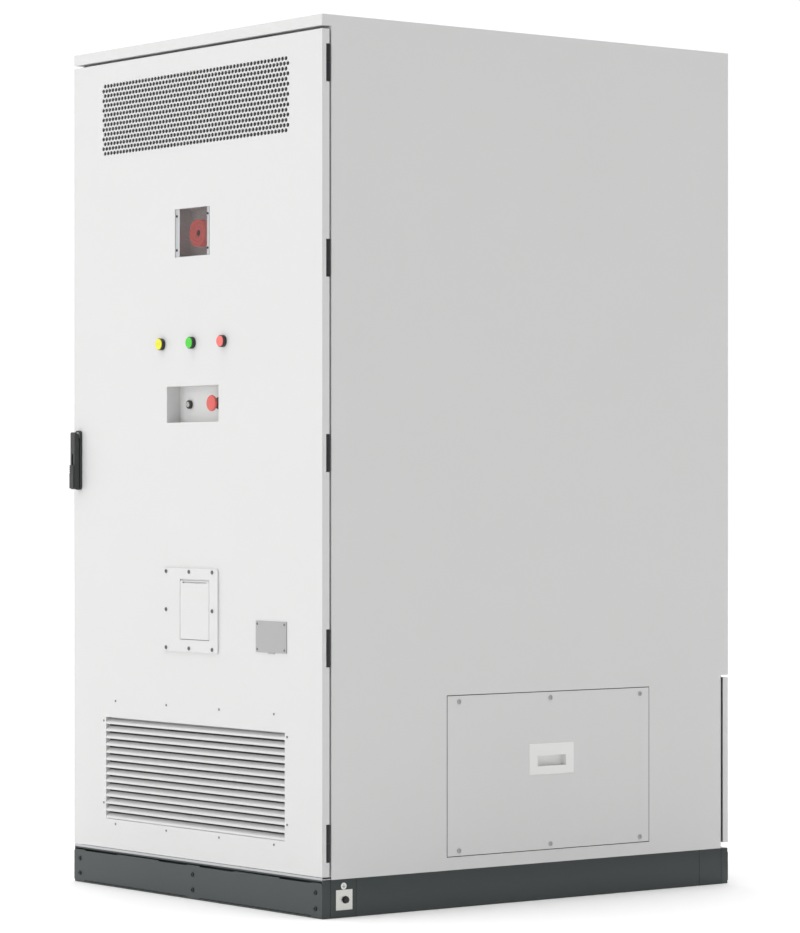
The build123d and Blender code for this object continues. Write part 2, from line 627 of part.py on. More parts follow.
def vent_screen():
    """Staggered rows of holes; the real sheet has them at a finer pitch."""
    row_pitch = HOLE_PITCH * math.sqrt(3) / 2
    across = int((2 * SCREEN_HALF_W - 2 * SCREEN_EDGE) / HOLE_PITCH)
    rows = int((SCREEN_Z[1] - SCREEN_Z[0] - 2 * SCREEN_EDGE) / row_pitch) + 1
    middle = (SCREEN_Z[0] + SCREEN_Z[1]) / 2
    holes = []
    for row in range(rows):
        count = across + 1 - row % 2
        z = (row - (rows - 1) / 2) * row_pitch
        for i in range(count):
            x = (i - (count - 1) / 2) * HOLE_PITCH
            holes.append(Pos(x, z) * RegularPolygon(HOLE_R, 6, rotation=30))
    sheet = Rectangle(2 * SCREEN_HALF_W, SCREEN_Z[1] - SCREEN_Z[0]) - holes
    save("vent_screen", extrude(front_plane(0, SKIN_BACK, middle) * sheet, amount=SHEET))


def louvre():
    """Rain louvre: a flanged plate behind the skin with two cheeks, and folded slats between them."""
    half, low, high = LOUVRE_FLANGE
    plate = block(-half, half, SKIN_BACK, SKIN_BACK + LOUVRE_SHEET, low, high)
    plate -= block(-LOUVRE_HALF_W, LOUVRE_HALF_W, SKIN_BACK - 1, SKIN_BACK + 3, *LOUVRE_Z)
    pitch = (LOUVRE_Z[1] - LOUVRE_Z[0]) / LOUVRE_SLATS
    depth = 16.0
    cradle = plate
    for side in (-1, 1):
        x = side * (LOUVRE_HALF_W + LOUVRE_SHEET / 2)
        cradle += block(x - LOUVRE_SHEET / 2, x + LOUVRE_SHEET / 2, SKIN_BACK, SKIN_BACK + depth, *LOUVRE_Z)
    slats = []
    for i in range(LOUVRE_SLATS):
        z = LOUVRE_Z[0] + i * pitch
        slat = folded([(FACE + 0.5, z + 1), (FACE + 0.5, z + 6), (FACE + 11, z + pitch - 4.4),
                       (FACE + 15, z + pitch - 4.4), (FACE + 15, z + pitch - 1)], -LOUVRE_SHEET)
        slats.append(along_x(slat, -LOUVRE_HALF_W, LOUVRE_HALF_W))
    save("louvre_bank", [cradle] + slats)


def pocket(x, half_w, z_range, depth):
    """A pressed pocket behind an opening in the skin: flange, four walls and a back."""
    z0, z1 = z_range
    t = POCKET_SHEET
    back = FACE + depth
    shape = block(x - half_w - t, x + half_w + t, SKIN_BACK, back + t, z0 - t, z1 + t)
    flange = POCKET_FLANGE
    shape += block(x - half_w - flange, x + half_w + flange, SKIN_BACK, SKIN_BACK + t,
                   z0 - flange, z1 + flange)
    return shape - block(x - half_w, x + half_w, FACE, back, z0, z1)


def pockets_and_beacon():
    recess = pocket(0, RECESS_HALF_W, RECESS_Z, RECESS_DEPTH)
    back = FACE + RECESS_DEPTH
    for x, z, radius in ((KEY_X, KEY_Z, KEY_CORE_R + 2), (ESTOP_X, ESTOP_Z, BARREL_R)):
        recess -= rod_y(radius, back - 1, back + POCKET_SHEET + 1, x, z)
    beacon = pocket(BEACON_X, BEACON_HALF_W, BEACON_Z, BEACON_POCKET_D)
    cover_back = FACE + BEACON_COVER_BACK + POCKET_SHEET
    for side in (-1, 1):
        x = BEACON_X + side * (BEACON_HALF_W - 5)
        beacon += block(x - 5, x + 5, cover_back, cover_back + POCKET_SHEET, *BEACON_Z)
    save("door_pockets", [recess, beacon])

    z0, z1 = BEACON_Z[0] + AIR, BEACON_Z[1] - AIR
    cover = block(BEACON_X - BEACON_HALF_W + AIR, BEACON_X + BEACON_HALF_W - AIR,
                  FACE + BEACON_COVER_BACK, cover_back, z0, z1)
    cell, rib = 20.0, 3.0
    for i in range(5):
        for j in range(5):
            x, z = BEACON_X + (i - 2) * cell, (z0 + z1) / 2 + (j - 2) * cell
            half = (cell - rib) / 2
            cover -= block(x - half, x + half, FACE, cover_back + 1, z - half, z + half)
    save("beacon_cover", cover)

    lamp_front, lamp_back = FACE + BEACON_LAMP_BACK, FACE + BEACON_POCKET_D
    lamp = rod_y(BEACON_LAMP_R, lamp_front + 6, lamp_back, BEACON_X, BEACON_LAMP_Z)
    lens = rod_y(BEACON_LAMP_R - 4, lamp_front, lamp_front + 6, BEACON_X, BEACON_LAMP_Z)
    save("beacon_lamp", lamp + chamfer(lens.edges().filter_by(GeomType.CIRCLE).group_by(Axis.Y)[0], 4))


def device_body(x, z, wall, flange_r, flange_t, barrel_r, wall_t):
    """A panel device: flange in front of the wall, barrel through it, contact block behind it."""
    shape = rod_y(flange_r, wall - flange_t, wall, x, z) + rod_y(barrel_r, wall, wall + wall_t, x, z)
    behind = block(x - BLOCK / 2, x + BLOCK / 2, wall + wall_t, wall + wall_t + BLOCK_D,
                   z - BLOCK / 2, z + BLOCK / 2)
    return shape + chamfer(behind.edges().filter_by(Axis.Y), 4)


def control_devices():
    bodies = []
    for name, i in (("lamp_yellow", -1), ("lamp_green", 0), ("lamp_red", 1)):
        x = i * LAMP_PITCH
        body = device_body(x, LAMP_Z, FACE, LAMP_R, BEZEL_T, BARREL_R, SHEET)
        bodies.append(body - rod_y(LENS_R + 0.1, FACE - BEZEL_T - 1, FACE - 2, x, LAMP_Z))
        top = FACE - LAMP_PROUD
        lens = rod_y(LENS_R, top, FACE - 2, x, LAMP_Z)
        save(name, chamfer(lens.edges().filter_by(GeomType.CIRCLE).group_by(Axis.Y)[0], 3))

    wall, sheet = FACE + RECESS_DEPTH, POCKET_SHEET
    key_front = wall - 7
    body = device_body(KEY_X, KEY_Z, wall, KEY_FLANGE_R, 7, KEY_CORE_R + 1.8, sheet)
    bodies.append(body - rod_y(KEY_CORE_R + RUNNING, key_front - 1, wall + 4, KEY_X, KEY_Z))
    core = rod_y(KEY_CORE_R, key_front - 2, wall + 4 - AIR, KEY_X, KEY_Z)
    slot = block(KEY_X - 0.9, KEY_X + 0.9, key_front - 3, key_front + 3, KEY_Z - 4, KEY_Z + 4)
    save("key_core", core - slot)

    body = device_body(ESTOP_X, ESTOP_Z, wall, ESTOP_BASE_R, 9, BARREL_R - AIR, sheet)
    stem_end = wall + 10
    bodies.append(body - rod_y(ESTOP_STEM_R + RUNNING, wall - 10, stem_end, ESTOP_X, ESTOP_Z))
    save("control_bodies", bodies)
    head_front = FACE + ESTOP_BACK
    head_back = head_front + 12
    spigot_r = ESTOP_STEM_R - 3
    stem = rod_y(ESTOP_STEM_R, head_back + AIR, stem_end - ESTOP_TRAVEL - AIR, ESTOP_X, ESTOP_Z)
    save("estop_plunger", stem + rod_y(spigot_r, head_front + 4, head_back + AIR, ESTOP_X, ESTOP_Z))
    rim = 6.0
    profile = [(0, 0), (ESTOP_R * 0.5, 0.7), (ESTOP_R * 0.82, 2.6), (ESTOP_R, rim), (ESTOP_R, rim + 1),
               (13, 12), (0, 12)]
    dome = revolve(outline(profile), Axis.Y)
    head = Pos(ESTOP_X, head_front, ESTOP_Z) * dome
    bore = rod_y(spigot_r + RUNNING, head_front + 4 - AIR, head_back + 1, ESTOP_X, ESTOP_Z)
    save("estop_head", head - bore)


def vent_plate():
    x0, x1 = VENT_X - VENT_W / 2, VENT_X + VENT_W / 2
    plate = front_plate(x0, x1, VENT_Z[0], VENT_Z[1], FACE, VENT_T, VENT_CORNER)
    gap = FLAP_SIDE_GAP
    axis_z, axis_y = FLAP_Z[1] + FLAP_AXIS_UP, FACE - VENT_T / 2
    plate -= block(FLAP_X[0] - gap, FLAP_X[1] + gap, FACE - VENT_T - 1, FACE + 1,
                   FLAP_Z[0] - gap, axis_z + 5)
    plate -= rod_x(FLAP_PIN_R + RUNNING, FLAP_X[0] - gap - 3, FLAP_X[1] + gap + 3, axis_y, axis_z)
    save("vent_plate", plate)
    sheet = block(FLAP_X[0], FLAP_X[1], FACE - VENT_T, FACE - VENT_T + FLAP_T, FLAP_Z[0], FLAP_Z[1])
    for x in (FLAP_X[0], FLAP_X[1] - 10):
        sheet += block(x, x + 10, FACE - VENT_T, FACE - VENT_T + FLAP_T, FLAP_Z[1], axis_z)
    sheet += rod_x(FLAP_PIN_R, FLAP_X[0] - gap - 3 + AIR, FLAP_X[1] + gap + 3 - AIR, axis_y, axis_z)
    save("vent_flap", sheet)
    port = block(PORT_X[0], PORT_X[1], FACE - PORT_T, FACE, PORT_Z[0], PORT_Z[1])
    middle = (PORT_X[0] + PORT_X[1]) / 2
    port += block(middle - 13, middle + 13, FACE - 1.5, FACE, PORT_Z[0] - 3, PORT_Z[0])
    save("port_plate", chamfer(port.faces().sort_by(Axis.Y)[0].edges(), 0.6))


# ---- swing handle ----
def handle():
    half = HANDLE_W / 2
    base_front = FACE - HANDLE_BASE_T
    base = front_plate(HANDLE_X - half, HANDLE_X + half, *HANDLE_Z, FACE, HANDLE_BASE_T, half * 0.6)
    disc_back = base_front + 3
    base -= rod_y(HUB_R + AIR, base_front - 1, disc_back + 0.2, HANDLE_X, HUB_Z)
    base -= rod_y(SPINDLE_R + RUNNING, base_front, FACE + 1, HANDLE_X, HUB_Z)
    save("handle_base", base)

    pivot_y = FACE - PIVOT_OUT
    tongue = TONGUE_W / 2
    hub = rod_y(HUB_R, base_front - 0.8, disc_back, HANDLE_X, HUB_Z)
    hub += rod_x(PIVOT_CORNER, HANDLE_X - tongue, HANDLE_X + tongue, pivot_y, HUB_Z)
    hub += block(HANDLE_X - tongue, HANDLE_X + tongue, pivot_y, base_front, HUB_Z - PIVOT_CORNER,
                 HUB_Z + PIVOT_CORNER)
    hub -= rod_x(PIVOT_R + RUNNING, HANDLE_X - half, HANDLE_X + half, pivot_y, HUB_Z)
    hub += rod_y(SPINDLE_R, disc_back, GEAR_Y + GEAR_WIDTH + 2, HANDLE_X, HUB_Z)
    save("handle_hub", hub + pinion())

    top, nose = LEVER_FRONT - pivot_y, 9.0
    rear = LEVER_BACK - pivot_y
    low = LEVER_LOW - HUB_Z
    lines = Polyline((0, rear), (-nose / 2, nose), (top + 2, nose), (top, nose - 3), (top, low + 3),
                     (top + 3, low), (rear, low), (rear, 0))
    side = make_face(lines + ThreePointArc((rear, 0), (rear * 0.70711, rear * 0.70711), (0, rear)))
    profile = side_plane(HANDLE_X - LEVER_W / 2, pivot_y, HUB_Z) * side
    lever = extrude(profile, amount=LEVER_W)
    slot = tongue + AIR
    lever -= block(HANDLE_X - slot, HANDLE_X + slot, LEVER_FRONT + 3, LEVER_BACK + 1,
                   HUB_Z - PIVOT_CORNER - 9, HUB_Z + nose + 2)
    lever += rod_x(PIVOT_R, HANDLE_X - slot - 1, HANDLE_X + slot + 1, pivot_y, HUB_Z)
    tail = dovetail(3.2, 5.0, LEVER_FRONT, LEVER_FRONT + 3)
    lever -= along_z(tail, COVER_Z[0] + 20, COVER_Z[1] + COVER_TRAVEL)
    cylinder_front = LEVER_FRONT + 0.5
    lever -= rod_y(CYLINDER_R + RUNNING, LEVER_FRONT - 1, LEVER_FRONT + CYLINDER_D, HANDLE_X, CYLINDER_Z)
    save("handle_lever", lever)

    half = COVER_W / 2
    cover_front = LEVER_FRONT - AIR / 2 - COVER_T
    cover = front_plate(HANDLE_X - half, HANDLE_X + half, *COVER_Z, LEVER_FRONT - AIR / 2, COVER_T, 2.5)
    for i in range(4):
        z = COVER_Z[1] - 3 - 5 * i
        cover -= block(HANDLE_X - half - 1, HANDLE_X + half + 1, cover_front - 1, cover_front + 1.2,
                       z - 3, z)
    key = dovetail(3.0, 4.7, LEVER_FRONT - AIR / 2, LEVER_FRONT + 3 - AIR)
    save("cylinder_cover", cover + along_z(key, COVER_Z[0] + 24, COVER_Z[1] - AIR))
    cylinder = rod_y(CYLINDER_R, cylinder_front, LEVER_FRONT + CYLINDER_D - 0.2, HANDLE_X, CYLINDER_Z)
    cylinder -= block(HANDLE_X - 0.9, HANDLE_X + 0.9, cylinder_front - 1, cylinder_front + 6,
                      CYLINDER_Z - 4.5, CYLINDER_Z + 4.5)
    save("lock_cylinder", cylinder)


def dovetail(mouth, root, y0, y1):
    return [(HANDLE_X - mouth, y0), (HANDLE_X + mouth, y0), (HANDLE_X + root, y1), (HANDLE_X - root, y1)]


# ---- rod lock: involute pinion and two racks ----
def involute_point(base_r, radius, turn):
    """A point of an involute at a radius, with the involute's start turned round the centre."""
    roll = math.sqrt((radius / base_r) ** 2 - 1) if radius > base_r else 0.0
    angle = turn + roll - math.atan(roll)
    return radius * math.cos(angle), radius * math.sin(angle)


def pinion():
    pressure = math.radians(GEAR_ANGLE)
    base_r = PITCH_R * math.cos(pressure)
    tip_r, root_r = PITCH_R + GEAR_ADDENDUM, PITCH_R - GEAR_DEDENDUM
    involute_at_pitch = math.tan(pressure) - pressure
    half_tooth = math.pi / (2 * GEAR_TEETH) - GEAR_BACKLASH / (2 * PITCH_R)
    start = -half_tooth - involute_at_pitch
    radii = [base_r + (tip_r - base_r) * i / 4 for i in range(5)]
    flank = [(root_r * math.cos(start), root_r * math.sin(start))]
    flank += [involute_point(base_r, radius, start) for radius in radii]
    tooth = flank + [(x, -y) for x, y in reversed(flank)]
    points = []
    for k in range(GEAR_TEETH):
        c, s = math.cos(2 * math.pi * k / GEAR_TEETH), math.sin(2 * math.pi * k / GEAR_TEETH)
        points += [(x * c - y * s, x * s + y * c) for x, y in tooth]
    face = front_plane(HANDLE_X, GEAR_Y + GEAR_WIDTH, HUB_Z) * outline(points)
    return extrude(face, amount=GEAR_WIDTH)


def rack_points(side, first, last):
    """A rack's toothed edge: side -1 lies left of the pinion, side 1 right of it."""
    pitch = math.pi * GEAR_MODULE
    slope = math.tan(math.radians(GEAR_ANGLE))
    pitch_x = HANDLE_X + side * PITCH_R
    tip_x, root_x = pitch_x - side * GEAR_ADDENDUM, pitch_x + side * GEAR_DEDENDUM
    half = pitch / 4 - GEAR_BACKLASH / 4
    tip, root = half - GEAR_ADDENDUM * slope, half + GEAR_DEDENDUM * slope
    points = []
    for k in range(first, last + 1):
        z = HUB_Z + (k + 0.5) * pitch
        points += [(root_x, z - root), (tip_x, z - tip), (tip_x, z + tip), (root_x, z + root)]
    return points, root_x


def rods():
    y0 = GEAR_Y - 1
    y1 = y0 + ROD_W
    teeth, root_x = rack_points(-1, -3, 7)
    outer = root_x - (ROD_T - GEAR_DEDENDUM)
    low, high = HUB_Z - 20, DOOR_HIGH - ROD_END
    upper = along_y([(outer, low), (root_x, low)] + teeth + [(root_x, high - 10), (root_x - 2, high),
                                                             (outer + 2, high), (outer, high - 10)], y0, y1)
    save("upper_rod", upper)
    teeth, root_x = rack_points(1, -8, 2)
    outer = root_x + (ROD_T - GEAR_DEDENDUM)
    low, high = DOOR_LOW + ROD_END, HUB_Z + 20
    point = [(root_x, low + 10), (root_x + 2, low), (outer - 2, low), (outer, low + 10)]
    lower = along_y([(outer, high), (root_x, high)] + teeth[::-1] + point, y0, y1)
    save("lower_rod", lower)


def lock_case():
    """An open-backed cast case for the pinion and racks, and a guide bracket on each stretch of rod."""
    y0, y1 = GEAR_Y - 1 - AIR, GEAR_Y - 1 + ROD_W + AIR
    reach = PITCH_R + ROD_T + AIR
    case = block(HANDLE_X - reach - CASE_WALL, HANDLE_X + reach + CASE_WALL, SKIN_BACK, y1,
                 HUB_Z - CASE_H / 2, HUB_Z + CASE_H / 2)
    case -= block(HANDLE_X - reach, HANDLE_X + reach, y0, y1 + 1, HUB_Z - CASE_H, HUB_Z + CASE_H)
    case -= rod_y(SPINDLE_R + RUNNING, SKIN_BACK - 1, y0 + 1, HANDLE_X, HUB_Z)
    inner = PITCH_R - GEAR_ADDENDUM - AIR
    for z in (HUB_Z - CASE_H / 2, HUB_Z + CASE_H / 2 - 12):
        case += block(HANDLE_X - inner + 2, HANDLE_X + inner - 2, y0, y1, z, z + 12)
    guides = []
    for z in GUIDE_Z:
        side = -1 if z > HUB_Z else 1
        x = HANDLE_X + side * (PITCH_R + ROD_T / 2 + GEAR_DEDENDUM / 2 - 0.1)
        half = ROD_T / 2 + AIR
        guide = block(x - half - 1.2, x + half + 1.2, SKIN_BACK, y1 + 1.5, z - 15, z + 15)
        guides.append(guide - block(x - half, x + half, y0, y1, z - 16, z + 16))
    save("lock_case", [case] + guides)


# ---- fasteners ----
def screws():
    heads = []
    for z in (ACCESS_Z[0] + 12.4, ACCESS_Z[1] - 14.6):
        for y in (ACCESS_Y[0] + 35, (ACCESS_Y[0] + ACCESS_Y[1]) / 2, ACCESS_Y[1] - 30):
            heads.append(hexagon_x(6, HALF_W, HALF_W + 2.5, y, z))
    reach = HALF_W - 27
    for z in (23.1, 60.7):
        for x in (-reach, 0, reach):
            head = hexagon_y(6, FACE - 2.5, FACE, x, z)
            heads += [head, mirror(head, about=Plane.XZ)]
    for z in (REAR_COVER_LOW + 25, REAR_COVER_HIGH - 25):
        for x in (-reach, 0, reach):
            heads.append(hexagon_y(6, REAR, REAR + 2.5, x, z))
    save("panel_screws", heads)

    heads = []
    front = FACE - VENT_T
    for i in (-1, 0, 1):
        for j in (-1, 0, 1):
            if i or j:
                x = VENT_X + i * (VENT_W / 2 - 22.3)
                z = (VENT_Z[0] + VENT_Z[1]) / 2 + j * 94.2
                heads.append(hexagon_y(5, front - 2, front, x, z))
    front = FACE - PORT_T
    for x in (PORT_X[0] + 7, PORT_X[1] - 7):
        for z in (PORT_Z[0] + 7, PORT_Z[1] - 7):
            heads.append(hexagon_y(3, front - 1.2, front, x, z))
    half, low, high = LOUVRE_FLANGE
    for z in (low + 9, high - 9):
        for x in (-341.4, -113.8, 113.8, 341.4):
            heads.append(hexagon_y(3, FACE - 1, FACE, x, z))
    for z in (211.1, 419.1):
        for x in (-half + 9, half - 9):
            heads.append(hexagon_y(3, FACE - 1, FACE, x, z))
    save("door_fasteners", heads)


def main():
    os.makedirs("parts", exist_ok=True)
    plinth()
    floor_parts()
    panels()
    frame()
    battery_packs()
    runners()
    boxes()
    door()
    hinges()
    vent_screen()
    louvre()
    pockets_and_beacon()
    control_devices()
    vent_plate()
    handle()
    rods()
    lock_case()
    screws()


main()
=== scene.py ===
# %% [markdown]
# This lesson dresses a battery cabinet whose construction already exists as CAD parts. The CAD keeps every
# size and every joint. Here each part gets its finish, and the parts people look at closely, such as the
# perforated vent, the screws and the buttons, are modelled again with more care. Lengths are in metres.

# %% Load the frame
import json
import math

import bpy
from mathutils import Euler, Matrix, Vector

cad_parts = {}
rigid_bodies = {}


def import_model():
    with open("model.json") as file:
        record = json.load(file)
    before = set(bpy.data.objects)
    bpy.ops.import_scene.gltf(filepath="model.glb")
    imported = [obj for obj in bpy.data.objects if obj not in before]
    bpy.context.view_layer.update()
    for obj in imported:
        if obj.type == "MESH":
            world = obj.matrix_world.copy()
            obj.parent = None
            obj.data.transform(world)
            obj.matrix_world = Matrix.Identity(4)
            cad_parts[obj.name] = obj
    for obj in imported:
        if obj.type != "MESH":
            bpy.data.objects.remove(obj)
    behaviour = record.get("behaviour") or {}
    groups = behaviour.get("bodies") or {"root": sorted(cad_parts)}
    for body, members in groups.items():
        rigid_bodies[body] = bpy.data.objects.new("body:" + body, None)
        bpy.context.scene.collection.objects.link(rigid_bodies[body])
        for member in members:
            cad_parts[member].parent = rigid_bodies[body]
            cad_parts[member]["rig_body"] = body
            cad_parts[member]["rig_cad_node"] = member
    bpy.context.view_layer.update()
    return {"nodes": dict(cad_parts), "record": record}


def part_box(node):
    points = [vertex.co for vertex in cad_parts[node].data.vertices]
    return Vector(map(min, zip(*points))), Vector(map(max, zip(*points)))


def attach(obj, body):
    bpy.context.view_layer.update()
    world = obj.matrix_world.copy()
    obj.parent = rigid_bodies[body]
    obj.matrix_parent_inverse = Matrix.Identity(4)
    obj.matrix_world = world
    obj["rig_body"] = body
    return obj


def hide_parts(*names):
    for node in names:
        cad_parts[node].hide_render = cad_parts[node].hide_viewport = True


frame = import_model()
nodes = frame["nodes"]
print("loaded", len(nodes), "CAD parts")

# %% [markdown]
# The camera stands to the right of the door, a metre above the floor and far away, with a long lens, and
# looks level, so that upright edges stay upright. A small shift of the lens frames the cabinet untilted.

# %% Camera
camera_data = bpy.data.cameras.new("camera")
camera_data.lens = 141.5
camera_data.shift_y = 0.0228
camera = bpy.data.objects.new("camera", camera_data)
bpy.context.scene.collection.objects.link(camera)
camera.location = (7.422, -5.764, 1.010)
looking = Vector((-0.78984, 0.61331, 0.0))
camera.rotation_euler = looking.to_track_quat("-Z", "Y").to_euler()
bpy.context.scene.camera = camera
bpy.context.scene.view_settings.view_transform = "Standard"
print("camera lens", camera_data.lens)

# %% [markdown]
# A white cabinet is lit like a product on white paper. The surround is white on the left and fades to grey
# on the right, so that the door reads brighter than the side. A soft overhead light brings the floor up to
# the same white, and one large soft light from the front puts a gentle sheen on the door.

# %% Floor and light
bpy.ops.mesh.primitive_plane_add(size=60, location=(0, 0, -0.0005))
floor = bpy.context.object
floor.name = "floor"


def soft_light(name, place, aim, size, power):
    data = bpy.data.lights.new(name, "AREA")
    data.shape = "SQUARE"
    data.size = size
    data.energy = power
    lamp = bpy.data.objects.new(name, data)
    bpy.context.scene.collection.objects.link(lamp)
    lamp.location = place
    lamp.rotation_euler = (Vector(aim) - Vector(place)).to_track_quat("-Z", "Y").to_euler()


soft_light("door_light", (-1.5, -6.5, 3.2), (0, -0.6, 1.0), 4.0, 85)
overhead = bpy.data.lights.new("overhead", "SUN")
overhead.energy = 1.9
overhead.angle = math.radians(70)
overhead_lamp = bpy.data.objects.new("overhead", overhead)
bpy.context.scene.collection.objects.link(overhead_lamp)
world = bpy.data.worlds.new("surround")
world.use_nodes = True
tree = world.node_tree
direction = tree.nodes.new("ShaderNodeTexCoord")
parts = tree.nodes.new("ShaderNodeSeparateXYZ")
fade = tree.nodes.new("ShaderNodeMapRange")
fade.inputs["From Min"].default_value = -1.0
fade.inputs["From Max"].default_value = 1.0
fade.inputs["To Min"].default_value = 1.12
fade.inputs["To Max"].default_value = 0.36
tree.links.new(direction.outputs["Generated"], parts.inputs["Vector"])
tree.links.new(parts.outputs["X"], fade.inputs["Value"])
tree.links.new(fade.outputs["Result"], tree.nodes["Background"].inputs["Strength"])
tree.nodes["Background"].inputs["Color"].default_value = (1, 1, 1, 1)
bpy.context.scene.world = world

# %% [markdown]
# Every finish starts from one helper: a Principled shader whose colour wanders a little with a broad noise,
# and whose roughness and normal carry a fine grain. Real coatings are never one flat value, and the grain is
# what tells powder coat from moulded plastic. Object coordinates give a grain the same size on every part.


# %% Surface helper
def surface(name, colour, rough, metal=0.0, grain=900, bump=0.06, depth=0.0002, drift=0.03,
            stretch=(1, 1, 1)):
    """A finish: base colour (linear), roughness, grains per metre, bump strength and colour drift."""
    material = bpy.data.materials.new(name)
    material.use_nodes = True
    tree = material.node_tree
    shader = tree.nodes["Principled BSDF"]
    shader.inputs["Metallic"].default_value = metal
    place = tree.nodes.new("ShaderNodeTexCoord")
    fit = tree.nodes.new("ShaderNodeMapping")
    fit.inputs["Scale"].default_value = stretch
    tree.links.new(place.outputs["Object"], fit.inputs["Vector"])
    broad = tree.nodes.new("ShaderNodeTexNoise")
    broad.inputs["Scale"].default_value = 3.5
    broad.inputs["Detail"].default_value = 3
    tree.links.new(place.outputs["Object"], broad.inputs["Vector"])
    tint = tree.nodes.new("ShaderNodeMix")
    tint.data_type = "RGBA"
    low, high = 1 - drift, 1 + drift
    tint.inputs["A"].default_value = (*[c * low for c in colour], 1)
    tint.inputs["B"].default_value = (*[min(1.0, c * high) for c in colour], 1)
    tree.links.new(broad.outputs["Fac"], tint.inputs["Factor"])
    tree.links.new(tint.outputs["Result"], shader.inputs["Base Color"])
    fine = tree.nodes.new("ShaderNodeTexNoise")
    fine.inputs["Scale"].default_value = grain
    fine.inputs["Detail"].default_value = 2
    tree.links.new(fit.outputs["Vector"], fine.inputs["Vector"])
    span = tree.nodes.new("ShaderNodeMapRange")
    span.inputs["To Min"].default_value = rough - 0.06
    span.inputs["To Max"].default_value = rough + 0.06
    tree.links.new(fine.outputs["Fac"], span.inputs["Value"])
    tree.links.new(span.outputs["Result"], shader.inputs["Roughness"])
    raised = tree.nodes.new("ShaderNodeBump")
    raised.inputs["Strength"].default_value = bump
    raised.inputs["Distance"].default_value = depth
    tree.links.new(fine.outputs["Fac"], raised.inputs["Height"])
    tree.links.new(raised.outputs["Normal"], shader.inputs["Normal"])
    return material


# %% [markdown]
# The cabinet's own finishes. Powder coat is half matt with an orange-peel grain of about a millimetre, and
# the plinth wears the same kind of paint in dark grey. Folded inner sheet is galvanised, so its grain is
# coarser, upright and metallic. The handle and the switches are moulded plastic with a much finer grain.
# The lenses carry a faint painted glow, which stands in for daylight through the coloured lens. The red one
# also brightens the red sounder, which wears the red lens finish.

# %% Finishes
finishes = {
    "white_paint": surface("white_paint", (0.635, 0.635, 0.632), 0.46, bump=0.22, drift=0.012),
    "plinth_paint": surface("plinth_paint", (0.032, 0.041, 0.041), 0.42, bump=0.12, drift=0.08),
    "grey_paint": surface("grey_paint", (0.36, 0.36, 0.36), 0.4, bump=0.08),
    "box_paint": surface("box_paint", (0.55, 0.56, 0.56), 0.45, bump=0.08),
    "pack_paint": surface("pack_paint", (0.075, 0.08, 0.085), 0.45, bump=0.1, drift=0.08),
    "red_paint": surface("red_paint", (0.5, 0.02, 0.02), 0.25, bump=0.03),
    "galvanised_steel": surface("galvanised_steel", (0.48, 0.49, 0.50), 0.42, 0.85, 60, 0.05, 0.0001, 0.12,
                                (1, 1, 0.3)),
    "plated_steel": surface("plated_steel", (0.66, 0.66, 0.63), 0.3, 1.0, 500, 0.04, 0.0001, 0.06),
    "black_steel": surface("black_steel", (0.018, 0.018, 0.02), 0.38, 0.2, bump=0.08, drift=0.1),
    "mesh_steel": surface("mesh_steel", (0.16, 0.165, 0.165), 0.5, 0.3, bump=0.05),
    "zinc_cast": surface("zinc_cast", (0.42, 0.42, 0.43), 0.45, 0.9, 350, 0.1, 0.0002, 0.08),
    "handle_black": surface("handle_black", (0.03, 0.032, 0.032), 0.5, grain=2200, bump=0.12, depth=0.0001,
                            drift=0.08),
    "black_plastic": surface("black_plastic", (0.02, 0.02, 0.021), 0.42, grain=2500, bump=0.08,
                             depth=0.0001),
    "white_plastic": surface("white_plastic", (0.78, 0.78, 0.77), 0.42, grain=2000, bump=0.05, depth=0.0001),
    "orange_plastic": surface("orange_plastic", (0.8, 0.2, 0.01), 0.35, grain=2000, bump=0.04, depth=0.0001),
    "red_plastic": surface("red_plastic", (0.62, 0.10, 0.085), 0.28, grain=2500, bump=0.03, depth=0.0001),
    "lens_yellow": surface("lens_yellow", (0.70, 0.67, 0.0), 0.2, grain=1500, bump=0.03, depth=0.0001),
    "lens_green": surface("lens_green", (0.035, 0.55, 0.010), 0.2, grain=1500, bump=0.03, depth=0.0001),
    "lens_red": surface("lens_red", (0.60, 0.11, 0.095), 0.2, grain=1500, bump=0.03, depth=0.0001),
    "seal_rubber": surface("seal_rubber", (0.02, 0.02, 0.02), 0.8, grain=1200, bump=0.3),
}
floor.data.materials.append(surface("floor_paper", (0.93, 0.93, 0.93), 0.8, bump=0.0, drift=0.0))
# painted glow: a faint emission on the lens finishes stands in for light, and the red one also lights the
# sounder
painted_glow = {"lens_yellow": 0.10, "lens_green": 0.08, "lens_red": 0.40}
for name, strength in painted_glow.items():
    shader = finishes[name].node_tree.nodes["Principled BSDF"]
    tone = finishes[name].node_tree.nodes["Mix"].inputs["A"].default_value
    shader.inputs["Emission Color"].default_value = tone
    shader.inputs["Emission Strength"].default_value = strength
    shader.inputs["Coat Weight"].default_value = 0.5
print("finishes", len(finishes))

# %% [markdown]
# Each CAD part takes the finish of its material slot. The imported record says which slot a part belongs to.

# %% Paint the CAD parts
slot_of = {part["node"]: part["material_slot"] for part in frame["record"]["subparts"]}
body_of = {node: body for body, group in frame["record"]["behaviour"]["bodies"].items() for node in group}
for node, piece in nodes.items():
    piece.data.materials.clear()
    piece.data.materials.append(finishes[slot_of[node]])
print("painted", len(nodes), "parts")

# %% [markdown]
# Helpers for modelling as by hand. A finished piece names its finish, rides on the body of the CAD part
# that it stands for, and replaces that part. A piece that only adds to the CAD replaces nothing.


# %% Modelling helpers
def only(piece):
    """Selects one object and nothing else."""
    bpy.ops.object.select_all(action="DESELECT")
    piece.select_set(True)
    bpy.context.view_layer.objects.active = piece


def apply_place(piece):
    only(piece)
    bpy.ops.object.transform_apply(location=True, rotation=True, scale=True)


def modify(piece, kind, **settings):
    """Adds a modifier with its settings and applies it."""
    only(piece)
    modifier = piece.modifiers.new(kind.lower(), kind)
    for key, value in settings.items():
        setattr(modifier, key, value)
    bpy.ops.object.modifier_apply(modifier=modifier.name)


